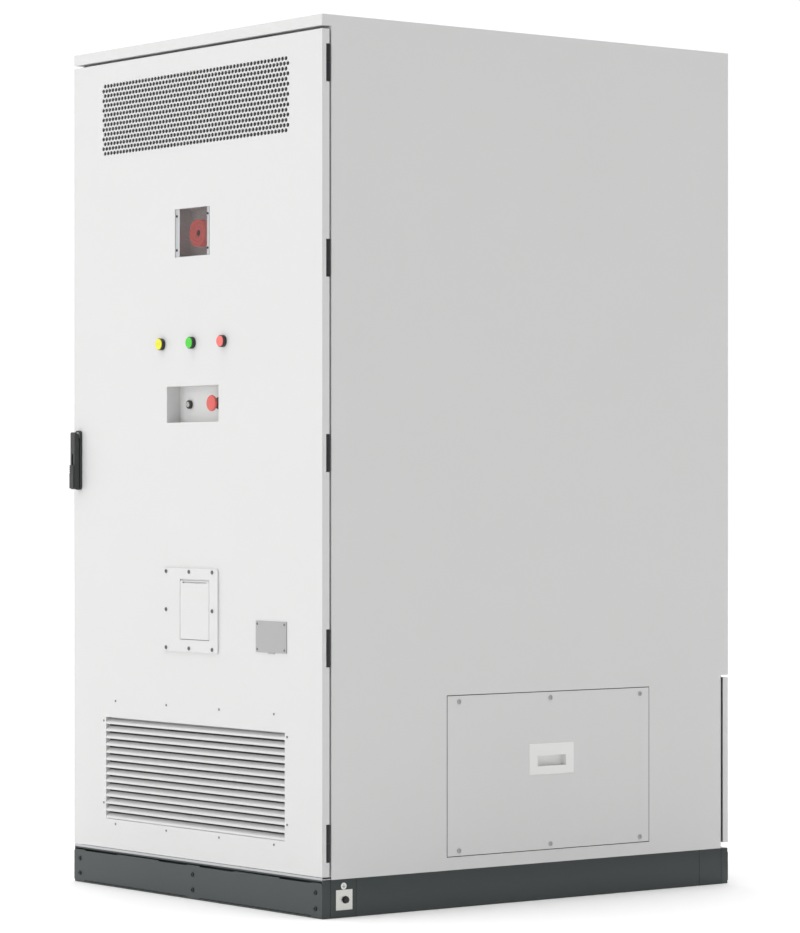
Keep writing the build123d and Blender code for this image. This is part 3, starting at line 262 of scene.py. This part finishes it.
def round_edges(piece, width, segments=2, angle=60):
    """Rounds the edges that turn by more than the angle."""
    modify(piece, "BEVEL", width=width, segments=segments, limit_method="ANGLE",
           angle_limit=math.radians(angle))


def smooth(piece, degrees=35):
    only(piece)
    bpy.ops.object.shade_smooth_by_angle(angle=math.radians(degrees))


def join(name, pieces):
    """One object from several."""
    bpy.ops.object.select_all(action="DESELECT")
    for piece in pieces:
        piece.select_set(True)
    bpy.context.view_layer.objects.active = pieces[0]
    if len(pieces) > 1:
        bpy.ops.object.join()
    pieces[0].name = name
    return pieces[0]


def dress(piece, slot, body, *stands_for):
    """Gives a finished piece its finish, its slot and the body that it moves with."""
    if not piece.data.materials:
        piece.data.materials.append(finishes[slot])
    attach(piece, body)
    if stands_for:
        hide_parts(*stands_for)
    print(piece.name, len(piece.data.polygons), "faces on", body)
    return piece


def softened(node, width, segments=2):
    """A copy of a CAD part with its corners rounded: merged, its flat faces joined, then bevelled."""
    piece = nodes[node].copy()
    piece.data = nodes[node].data.copy()
    piece.parent = None
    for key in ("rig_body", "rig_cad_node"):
        if key in piece:
            del piece[key]
    bpy.context.scene.collection.objects.link(piece)
    piece.name = node + "_dressed"
    only(piece)
    bpy.ops.object.mode_set(mode="EDIT")
    bpy.ops.mesh.select_all(action="SELECT")
    bpy.ops.mesh.remove_doubles(threshold=0.00001)
    bpy.ops.mesh.dissolve_limited(angle_limit=math.radians(1.0))
    bpy.ops.object.mode_set(mode="OBJECT")
    round_edges(piece, width, segments, 35)
    smooth(piece, 40)
    modify(piece, "WEIGHTED_NORMAL", keep_sharp=True)
    return dress(piece, slot_of[node], body_of[node], node)


# %% [markdown]
# Sheet metal is folded, never knife-sharp, so the panels, the door and the plinth get small rounded corners.
# The outer panels get the wider rounding of a fold, and the cut edges of the other parts are only broken.

# %% Soften the outer panels
FOLD = 0.0012
CUT = 0.0004
for node in ("roof_panel", "side_panel_left", "side_panel_right", "rear_panel", "rear_cover"):
    softened(node, FOLD)
for node in ("door_skin", "access_cover", "vent_plate", "vent_flap", "port_plate", "louvre_bank",
             "plinth_corners", "plinth_rails", "floor_tray", "door_pockets"):
    softened(node, CUT)
for node in ("hinge_leaves", "door_hinge_leaves", "handle_base", "handle_hub", "cylinder_cover",
             "pull_cup", "control_bodies", "lock_case"):
    softened(node, CUT)
softened("handle_lever", 0.0011, 3)
for number in range(1, 6):
    softened(f"battery_pack_{number}", 0.0015)
for node in ("control_box", "converter_case", "cooling_unit", "power_links", "door_stiffeners"):
    softened(node, 0.001)
for node in ("cabinet_frame", "rack_runners", "gland_plate", "gas_canister", "isolator_handle", "key_core",
             "lock_cylinder", "upper_rod", "lower_rod", "converter_fan_1", "converter_fan_2", "cooling_fan"):
    softened(node, CUT, 1)

# %% [markdown]
# The upper vent is a perforated sheet. One hole is modelled in its own small rectangle of sheet and repeated
# along a row. Fifteen rows, each moved half a pitch from the one below, make the staggered pattern. Rows
# of fifty-six and fifty-seven holes take turns, and plain fillers close the ends.

# %% Perforated sheet helper
def hole_tile(name, wide, high, radius, thick, corners=16):
    """A rectangle of sheet, facing the door's outside, with a round hole and the wall of the hole."""
    bpy.ops.object.select_all(action="DESELECT")
    bpy.ops.mesh.primitive_circle_add(vertices=corners, radius=radius,
                                      rotation=(math.pi / 2, 0, math.pi / corners))
    tile = bpy.context.object
    tile.name = name
    apply_place(tile)
    bpy.ops.object.mode_set(mode="EDIT")
    bpy.ops.mesh.select_all(action="SELECT")
    bpy.ops.mesh.extrude_edges_move()
    bpy.ops.object.mode_set(mode="OBJECT")
    chosen = [v for v in tile.data.vertices if v.select]
    for vertex in chosen:
        reach = min(wide / 2 / max(abs(vertex.co.x), 1e-9), high / 2 / max(abs(vertex.co.z), 1e-9))
        vertex.co = (vertex.co.x * reach, 0, vertex.co.z * reach)
    # the four vertices nearest the diagonals go out to the corners, so that neighbours meet
    for sx in (-1, 1):
        for sz in (-1, 1):
            near = max(chosen, key=lambda v: sx * v.co.x / wide + sz * v.co.z / high)
            near.co = (sx * wide / 2, 0, sz * high / 2)
    bpy.ops.object.mode_set(mode="EDIT")
    bpy.ops.mesh.select_all(action="DESELECT")
    bpy.ops.object.mode_set(mode="OBJECT")
    for vertex in tile.data.vertices:
        vertex.select = vertex.co.xz.length < radius * 1.01
    bpy.ops.object.mode_set(mode="EDIT")
    bpy.ops.mesh.select_mode(type="EDGE")
    bpy.ops.mesh.extrude_edges_move(TRANSFORM_OT_translate={"value": (0, thick, 0)})
    bpy.ops.mesh.select_mode(type="VERT")
    bpy.ops.mesh.select_all(action="SELECT")
    bpy.ops.mesh.normals_make_consistent(inside=False)
    bpy.ops.object.mode_set(mode="OBJECT")
    return tile


def filler(x0, x1, y, z0, z1):
    """A plain rectangle of sheet that faces the door's outside."""
    bpy.ops.object.select_all(action="DESELECT")
    bpy.ops.mesh.primitive_plane_add(size=1, location=((x0 + x1) / 2, y, (z0 + z1) / 2),
                                     rotation=(math.pi / 2, 0, 0))
    plate = bpy.context.object
    plate.scale = (x1 - x0, z1 - z0, 1)
    apply_place(plate)
    return plate


def perforated(name, low, high, rows, across, radius, thick, margin, corners):
    """Staggered holes over a rectangle from low to high; odd rows hold one hole more."""
    wide = (high.x - low.x) / across
    tall = (high.z - low.z - 2 * margin) / rows
    pieces = []
    if margin > 0:
        pieces.append(filler(low.x, high.x, low.y, low.z, low.z + margin))
        pieces.append(filler(low.x, high.x, low.y, high.z - margin, high.z))
    for row in range(rows):
        count = across - 1 + row % 2
        z = low.z + margin + (row + 0.5) * tall
        tile = hole_tile(name, wide, tall, radius, thick, corners)
        tile.location = (-(count - 1) / 2 * wide + (low.x + high.x) / 2, low.y, z)
        apply_place(tile)
        modify(tile, "ARRAY", count=count, use_relative_offset=False, use_constant_offset=True,
               constant_offset_displace=(wide, 0, 0), use_merge_vertices=True, merge_threshold=0.00002)
        pieces.append(tile)
        spare = (high.x - low.x - count * wide) / 2
        if spare > 0.0001:
            pieces.append(filler(low.x, low.x + spare, low.y, z - tall / 2, z + tall / 2))
            pieces.append(filler(high.x - spare, high.x, low.y, z - tall / 2, z + tall / 2))
    return join(name, pieces)


# %% [markdown]
# On the door the sheet lies flush with the skin, in the same paint. The tiles make its front and the walls
# of the holes. The door opens, so a turned copy of them, laid at the sheet's back, closes it from inside.

# %% Upper vent
low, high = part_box("vent_screen")
VENT_ROWS, VENT_HOLES = 15, 57
VENT_RADIUS, VENT_MARGIN = 0.0051, 0.0055
sheet_thick = high.y - low.y
front_sheet = perforated("vent_front", low, high, VENT_ROWS, VENT_HOLES, VENT_RADIUS, sheet_thick,
                         VENT_MARGIN, 16)
back_sheet = front_sheet.copy()
back_sheet.data = front_sheet.data.copy()
bpy.context.scene.collection.objects.link(back_sheet)
only(back_sheet)
bpy.ops.object.mode_set(mode="EDIT")
bpy.ops.mesh.select_all(action="SELECT")
bpy.ops.mesh.flip_normals()
bpy.ops.object.mode_set(mode="OBJECT")
for vertex in back_sheet.data.vertices:
    if vertex.co.y < low.y + sheet_thick / 2:
        vertex.co.y = high.y
vent = join("upper_vent", [front_sheet, back_sheet])
dress(vent, "white_paint", "door", "vent_screen")

# %% [markdown]
# Screws and rivets are small, but a light catches every head. The CAD marks each one with a plain hexagon.
# A helper reads where those stand and which way they face, and puts a modelled head at each place: a round
# button with a softened rim and a hexagonal socket for a screw, a plain dome for a rivet.


# %% Screw and rivet helpers
LARGEST_RIVET = 0.0035


def blank(name, sides, radius, deep, place=(0, 0, 0), turn=(0, 0, 0)):
    """A round or many-sided rod that stands on its place, along its own Z turned by turn."""
    bpy.ops.object.select_all(action="DESELECT")
    bpy.ops.mesh.primitive_cylinder_add(vertices=sides, radius=radius, depth=deep, location=(0, 0, deep / 2))
    rod = bpy.context.object
    rod.name = name
    apply_place(rod)
    rod.rotation_euler = turn
    rod.location = place
    apply_place(rod)
    return rod


def cut_away(piece, tool):
    """Cuts the tool out of the piece and throws the tool away."""
    modify(piece, "BOOLEAN", object=tool, operation="DIFFERENCE", solver="EXACT")
    bpy.data.objects.remove(tool, do_unlink=True)
    return piece


def marks(node):
    """The low and high corner of each separate solid in a CAD part."""
    source = nodes[node]
    probe = source.copy()
    probe.data = source.data.copy()
    probe.parent = None
    probe.hide_viewport = False
    bpy.context.scene.collection.objects.link(probe)
    probe.hide_set(False)
    only(probe)
    bpy.ops.object.mode_set(mode="EDIT")
    bpy.ops.mesh.select_all(action="SELECT")
    bpy.ops.mesh.remove_doubles(threshold=0.00001)
    bpy.ops.mesh.separate(type="LOOSE")
    bpy.ops.object.mode_set(mode="OBJECT")
    found = []
    for part in list(bpy.context.selected_objects):
        points = [v.co for v in part.data.vertices]
        found.append((Vector([min(p[i] for p in points) for i in range(3)]),
                      Vector([max(p[i] for p in points) for i in range(3)])))
        bpy.data.objects.remove(part, do_unlink=True)
    return found


def screw_head(name, radius, deep, place, turn):
    """A button head: rounded rim and a hexagonal socket."""
    head = blank(name, 24, radius, deep, place, turn)
    round_edges(head, min(radius, deep) * 0.45, 3)
    direction = Vector((0, 0, 1))
    direction.rotate(Euler(turn))
    tool = blank("socket", 6, radius * 0.5, deep, Vector(place) + direction * deep * 0.4, turn)
    cut_away(head, tool)
    smooth(head, 30)
    return head


def rivet_head(name, radius, deep, place, turn):
    head = blank(name, 16, radius, deep, place, turn)
    round_edges(head, deep * 0.7, 3)
    smooth(head, 60)
    return head


def place_heads(name, node, slot, body, make, bottom=-1.0, top=10.0):
    """One head on each mark of the node between two heights, all as one piece. Small marks are rivets."""
    heads = []
    for low, high in marks(node):
        if not bottom <= low.z < top:
            continue
        span = high - low
        axis = min(range(3), key=lambda i: span[i])
        middle = (low + high) / 2
        outward = 1 if middle[axis] > 0 else -1
        turn = (0, outward * math.pi / 2, 0) if axis == 0 else (-outward * math.pi / 2, 0, 0)
        middle[axis] = low[axis] if outward > 0 else high[axis]
        radius = max(span) / 2
        if radius < LARGEST_RIVET:
            heads.append(rivet_head(name, radius, span[axis], middle, turn))
        else:
            heads.append(make(name, radius, span[axis], middle, turn))
    return dress(join(name, heads), slot, body, node)


# %% [markdown]
# The screws of the side and the rear are bare zinc. Those of the plinth, below its top edge, are blackened
# to go with its paint, and those of the door are dull grey.

# %% Panel and door screws
PLINTH_TOP = 0.0905
place_heads("panel_screw_heads", "panel_screws", "zinc_cast", "cabinet", screw_head, bottom=PLINTH_TOP)
place_heads("plinth_screw_heads", "panel_screws", "black_steel", "cabinet", screw_head, top=PLINTH_TOP)
place_heads("door_screw_heads", "door_fasteners", "mesh_steel", "door", screw_head)

# %% [markdown]
# The plinth is closed in front and at the back by a bolted sheet. Its top and bottom edges are notched here
# and there, and these notches read as thin dark dashes. Long thin bars cut them from a copy of the CAD
# sheet whose edges are already broken.


# %% Plinth covers with their notches
def bar_tool(x0, x1, y0, y1, z0, z1):
    """A bar to cut with."""
    bpy.ops.object.select_all(action="DESELECT")
    bpy.ops.mesh.primitive_cube_add(size=1, location=((x0 + x1) / 2, (y0 + y1) / 2, (z0 + z1) / 2))
    tool = bpy.context.object
    tool.scale = (x1 - x0, y1 - y0, z1 - z0)
    apply_place(tool)
    return tool


NOTCH_DEEP, PAST = 0.0022, 0.01
TOP_NOTCHES = ((-0.481, -0.335), (-0.148, -0.025), (0.031, 0.175), (0.363, 0.489))
BOTTOM_NOTCHES = ((-0.484, -0.025), (0.031, 0.489))
covers = softened("plinth_covers", CUT, 1)
low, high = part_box("plinth_covers")
tools = []
for x0, x1 in TOP_NOTCHES:
    tools.append(bar_tool(x0, x1, low.y - PAST, high.y + PAST, high.z - NOTCH_DEEP, high.z + PAST))
for x0, x1 in BOTTOM_NOTCHES:
    tools.append(bar_tool(x0, x1, low.y - PAST, high.y + PAST, low.z - PAST, low.z + NOTCH_DEEP))
cut_away(covers, join("notches", tools))
print("plinth covers", len(covers.data.polygons), "faces")

# %% [markdown]
# On each side the plinth shows thin upright seams where the corner blocks meet the beams. They are scored
# into both parts with narrow bars, because two parts that only touch would look like one.

# %% Seams of the plinth
SEAMS, SEAM_DEEP, SEAM_HALF = (-0.6216, -0.5464, 0.5464, 0.6216), 0.0009, 0.0006
half_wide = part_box("plinth_corners")[1].x
for name in ("plinth_corners_dressed", "plinth_rails_dressed"):
    scores = []
    for hand in (-1, 1):
        for seam in SEAMS:
            edges = sorted((hand * (half_wide - SEAM_DEEP), hand * (half_wide + PAST)))
            scores.append(bar_tool(edges[0], edges[1], seam - SEAM_HALF, seam + SEAM_HALF, -PAST, 0.2))
    cut_away(bpy.data.objects[name], join("seam_tools", scores))
print("seams scored")

# %% [markdown]
# The earthing point is a bare bright plate on the corner of the plinth, with one dark bolt, and a small pale
# disc above it that carries the standard earth sign: a stem and three bars, each shorter than the last.

# %% Earthing point
EARTH_Y, EARTH_DISC_Z, STROKE_HALF = -0.5833, 0.074, 0.0004
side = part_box("plinth_corners")[1].x
softened("earth_plate", 0.0003)
low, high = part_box("earth_bolt")
middle = (low + high) / 2
turn_side = (0, math.pi / 2, 0)
washer = blank("earth_washer", 40, 0.009, 0.0014, (low.x + 0.0015, middle.y, middle.z), turn_side)
round_edges(washer, 0.0004)
shell = blank("earth_head", 6, (high.y - low.y) / 2 * 0.93, high.x - low.x - 0.003,
              (low.x + 0.0028, middle.y, middle.z), turn_side)
round_edges(shell, 0.0009, angle=40)
smooth(shell, 30)
dress(join("earth_bolt_head", [shell, washer]), "black_steel", "cabinet", "earth_bolt")
disc = blank("earth_disc", 40, 0.0082, 0.0010, (side, EARTH_Y, EARTH_DISC_Z), turn_side)
round_edges(disc, 0.0003)
dress(disc, "white_plastic", "cabinet")
inner, outer = side + 0.0010 - 0.0002, side + 0.0010 + 0.00015
strokes = [bar_tool(inner, outer, EARTH_Y - half, EARTH_Y + half,
                    EARTH_DISC_Z + z - STROKE_HALF, EARTH_DISC_Z + z + STROKE_HALF)
           for half, z in ((0.0048, 0.0), (0.0032, -0.0018), (0.0016, -0.0036))]
strokes.append(bar_tool(inner, outer, EARTH_Y - STROKE_HALF, EARTH_Y + STROKE_HALF,
                        EARTH_DISC_Z, EARTH_DISC_Z + 0.0055))
dress(join("earth_sign", strokes), "black_plastic", "cabinet")

# %% [markdown]
# Behind its window the beacon sits under a finely perforated cover. The cover is a dark sheet between two
# brighter strips, held by four screws. The holes are under four millimetres apart. The helper that made
# the big vent makes them too, with eight sides each.

# %% Beacon cover
MESH_LEFT, MESH_RIGHT = -0.057, 0.061
MESH_ROWS, MESH_HOLES, MESH_RADIUS, MESH_MARGIN = 34, 32, 0.00164, 0.0012
low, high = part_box("beacon_cover")
face = low.y
mesh_low, mesh_high = Vector((MESH_LEFT, face + 0.0002, low.z)), Vector((MESH_RIGHT, face + 0.0012, high.z))
mesh = perforated("beacon_mesh", mesh_low, mesh_high, MESH_ROWS, MESH_HOLES, MESH_RADIUS, 0.0003,
                  MESH_MARGIN, 8)
dress(mesh, "mesh_steel", "door", "beacon_cover")
strips = []
for x0, x1 in ((low.x, MESH_LEFT), (MESH_RIGHT, high.x - 0.0035)):
    strip = bar_tool(x0, x1, face, face + 0.0015, low.z, high.z)
    round_edges(strip, 0.0005)
    strips.append(strip)
smooth(join("beacon_strips", strips), 40)
dress(strips[0], "galvanised_steel", "door")
heads = [screw_head("beacon_screw", 0.0031, 0.0016, (x, face, z), (math.pi / 2, 0, 0))
         for x in (-0.0684, 0.0653) for z in (1.596, 1.680)]
dress(join("beacon_screws", heads), "black_steel", "door")

# %% [markdown]
# The beacon is a red sounder: a cup with a stepped rim, a shallow grooved face and a small dark opening
# in the middle. It starts as a round blank, and its front face is inset and moved in turns.


# %% Beacon sounder
def stepped(piece, steps, inward):
    """Insets the front face and moves it along inward, once for each step of (inset, move)."""
    only(piece)
    bpy.ops.object.mode_set(mode="EDIT")
    bpy.ops.mesh.select_all(action="DESELECT")
    bpy.ops.object.mode_set(mode="OBJECT")
    front = min(piece.data.polygons, key=lambda p: p.center.dot(inward))
    front.select = True
    bpy.ops.object.mode_set(mode="EDIT")
    bpy.ops.mesh.select_mode(type="FACE")
    for inset, move in steps:
        if inset:
            bpy.ops.mesh.inset(thickness=inset, depth=0)
        if move:
            bpy.ops.mesh.extrude_region_move(TRANSFORM_OT_translate={"value": tuple(inward * move)})
    bpy.ops.mesh.select_mode(type="VERT")
    bpy.ops.object.mode_set(mode="OBJECT")
    return piece


low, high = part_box("beacon_lamp")
middle = (low + high) / 2
into_door = Vector((0, 1, 0))
turn_front = (math.pi / 2, 0, 0)
sounder = blank("beacon_sounder", 72, (high.x - low.x) / 2, high.y - low.y, (middle.x, high.y, middle.z),
                turn_front)
stepped(sounder, ((0.004, 0.0025), (0.003, 0), (0.0008, -0.0012), (0.004, 0), (0.0008, 0.0012), (0.004, 0),
                  (0.0008, -0.0012), (0.004, 0), (0.0008, 0.0015), (0.0025, 0), (0.0005, 0.006)), into_door)
round_edges(sounder, 0.0005, angle=50)
smooth(sounder, 35)
# the red lens finish carries a painted glow that brightens the sounder
dress(sounder, "lens_red", "door", "beacon_lamp")
throat = blank("beacon_throat", 32, 0.0075, 0.0008, (middle.x, low.y + 0.0056, middle.z), turn_front)
dress(stepped(throat, ((0.003, 0.0005),), into_door), "black_plastic", "door")

# %% [markdown]
# The three pilot lights are coloured caps that stand off the door in black collars. Each cap has a softened
# rim and fine rings on its face that spread the light.

# %% Pilot lights
CAP_RADIUS, COLLAR_RADIUS, COLLAR_DEEP = 0.0133, 0.01475, 0.0046
LENS_RINGS = ((0.0035, 0), (0.0006, 0.0005), (0.0022, 0), (0.0006, -0.0005), (0.0022, 0), (0.0006, 0.0005))
door_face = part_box("door_skin")[0].y
for lamp in ("lamp_yellow", "lamp_green", "lamp_red"):
    low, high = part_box(lamp)
    middle = (low + high) / 2
    cap = blank(lamp + "_cap", 48, CAP_RADIUS, high.y - low.y, (middle.x, high.y, middle.z), turn_front)
    stepped(cap, LENS_RINGS, into_door)
    round_edges(cap, 0.0007, 3, 50)
    smooth(cap, 35)
    dress(cap, slot_of[lamp], "door", lamp)
    collar = blank(lamp + "_collar", 48, COLLAR_RADIUS, COLLAR_DEEP,
                   (middle.x, door_face - 0.0055, middle.z), turn_front)
    stepped(collar, ((0.0012, 0.0008),), into_door)
    round_edges(collar, 0.0004, angle=50)
    smooth(collar, 35)
    dress(collar, "black_plastic", "door")

# %% [markdown]
# The emergency stop is a red mushroom. Its head is one turned shape: a flat crown that rolls over into a
# thin rim, and a neck behind. Three short raised bars on the crown give the fingers a hold.

# %% Emergency stop head
STOP_RADIUS, CROWN_DEEP, NECK_RADIUS, BAR_OUT = 0.020, 0.0075, 0.0132, 0.0085
low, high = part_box("estop_head")
middle = (low + high) / 2
mushroom = blank("estop_mushroom", 64, STOP_RADIUS, CROWN_DEEP,
                 (middle.x, low.y + CROWN_DEEP, middle.z), turn_front)
round_edges(mushroom, 0.0058, 7)
neck = blank("estop_neck", 48, NECK_RADIUS, high.y - low.y - 0.005, (middle.x, high.y, middle.z), turn_front)
marks_raised = []
for third in range(3):
    angle = math.radians(120 * third + 30)
    mark = bar_tool(-0.0032, 0.0032, low.y, low.y + 0.0008, -0.0006, 0.0006)
    modify(mark, "BEVEL", width=0.0003, segments=2)
    mark.location = (middle.x + BAR_OUT * math.cos(angle), 0.0001, middle.z + BAR_OUT * math.sin(angle))
    mark.rotation_euler = (0, math.pi / 2 - angle, 0)
    apply_place(mark)
    marks_raised.append(mark)
smooth(mushroom, 45)
smooth(neck, 45)
dress(join("estop_mushroom", [mushroom, neck] + marks_raised), "red_plastic", "estop_head", "estop_head")

# %% [markdown]
# Behind the perforated vent sits a dark filter mat, and the loose covers rest on black rubber. Both are
# guesses, and both serve as painted shade: black pieces put behind the holes and the gaps so that they
# read as black. The mat is a low brick with a raised grid of pillows, and the rubber is a frame.


# %% Filter mat and gaskets, also painted shade
def quilted(name, x0, x1, y0, y1, z0, z1):
    """A low brick with a grid of pillows on its front."""
    mat = bar_tool(x0, x1, y0, y1, z0, z1)
    mat.name = name
    only(mat)
    bpy.ops.object.mode_set(mode="EDIT")
    bpy.ops.mesh.select_all(action="DESELECT")
    bpy.ops.object.mode_set(mode="OBJECT")
    front = min(mat.data.polygons, key=lambda p: p.center.y)
    front.select = True
    bpy.ops.object.mode_set(mode="EDIT")
    bpy.ops.mesh.select_mode(type="FACE")
    bpy.ops.mesh.inset(thickness=0.004, depth=0)
    bpy.ops.mesh.subdivide(number_cuts=5)
    bpy.ops.mesh.inset(thickness=0.0012, depth=0.0008, use_individual=True)
    bpy.ops.mesh.select_mode(type="VERT")
    bpy.ops.object.mode_set(mode="OBJECT")
    smooth(mat, 50)
    return dress(mat, "seal_rubber", "door")


def gasket(name, body, low, high, hole_low, hole_high, axis):
    """A flat rubber frame between two corners, with a hole through it along axis."""
    ring = bar_tool(low[0], high[0], low[1], high[1], low[2], high[2])
    ring.name = name
    inner_low, inner_high = list(hole_low), list(hole_high)
    inner_low[axis] -= 0.01
    inner_high[axis] += 0.01
    cut_away(ring, bar_tool(inner_low[0], inner_high[0], inner_low[1], inner_high[1],
                            inner_low[2], inner_high[2]))
    round_edges(ring, 0.0002, 1)
    return dress(ring, "seal_rubber", body)


RUBBER, CLEAR, FLAP_RIM, COVER_RIM = 0.0009, 0.00002, 0.0013, 0.0019
skin_back = door_face + 0.002
# painted shade: a black mat behind the vent holes, which also stands for a filter
quilted("vent_filter", -0.402, 0.402, skin_back + 0.0004, skin_back + 0.0074, 1.849, 2.036)
# painted shade: black rubber frames behind the gaps round the flap and the access cover, also gaskets
low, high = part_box("vent_flap")
gasket("flap_gasket", "door", (low.x - FLAP_RIM, door_face - RUBBER, low.z - FLAP_RIM),
       (high.x + FLAP_RIM, door_face - CLEAR, high.z - 0.006),
       (low.x + 0.006, door_face - 0.001, low.z + 0.006), (high.x - 0.006, door_face, high.z - 0.012), 1)
low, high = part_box("access_cover")
gasket("access_gasket", "cabinet", (low.x + CLEAR, low.y - COVER_RIM, low.z - COVER_RIM),
       (low.x + RUBBER, high.y + COVER_RIM, high.z + COVER_RIM),
       (low.x, low.y - 0.0001, low.z - 0.0001), (low.x + 0.001, high.y + 0.0001, high.z + 0.0001), 0)

# %% [markdown]
# Behind the gap under each slat of the louvre runs a black strip in the rubber finish, painted shade that
# makes the gaps read as black. Between the slats of the louvre runs a strip of black foam, a guess too,
# so that the gaps read as black.
# One strip is made and copied up the louvre at the pitch of the slats.

# %% Painted shade strips of the louvre
SLATS, LOUVRE_LOW, LOUVRE_HIGH = 14, 0.1716, 0.4290
slat_pitch = (LOUVRE_HIGH - LOUVRE_LOW) / SLATS
# painted shade: black strips on the back wall of the louvre, where the gaps under the slats fall into shade
strip = bar_tool(-0.3845, 0.3845, door_face + 0.0118, door_face + 0.0149, LOUVRE_LOW + slat_pitch - 0.0042,
                 LOUVRE_LOW + slat_pitch + 0.0004)
strip.name = "louvre_foam"
round_edges(strip, 0.0004)
modify(strip, "ARRAY", count=SLATS - 1, use_relative_offset=False, use_constant_offset=True,
       constant_offset_displace=(0, 0, slat_pitch))
smooth(strip, 40)
dress(strip, "seal_rubber", "door")
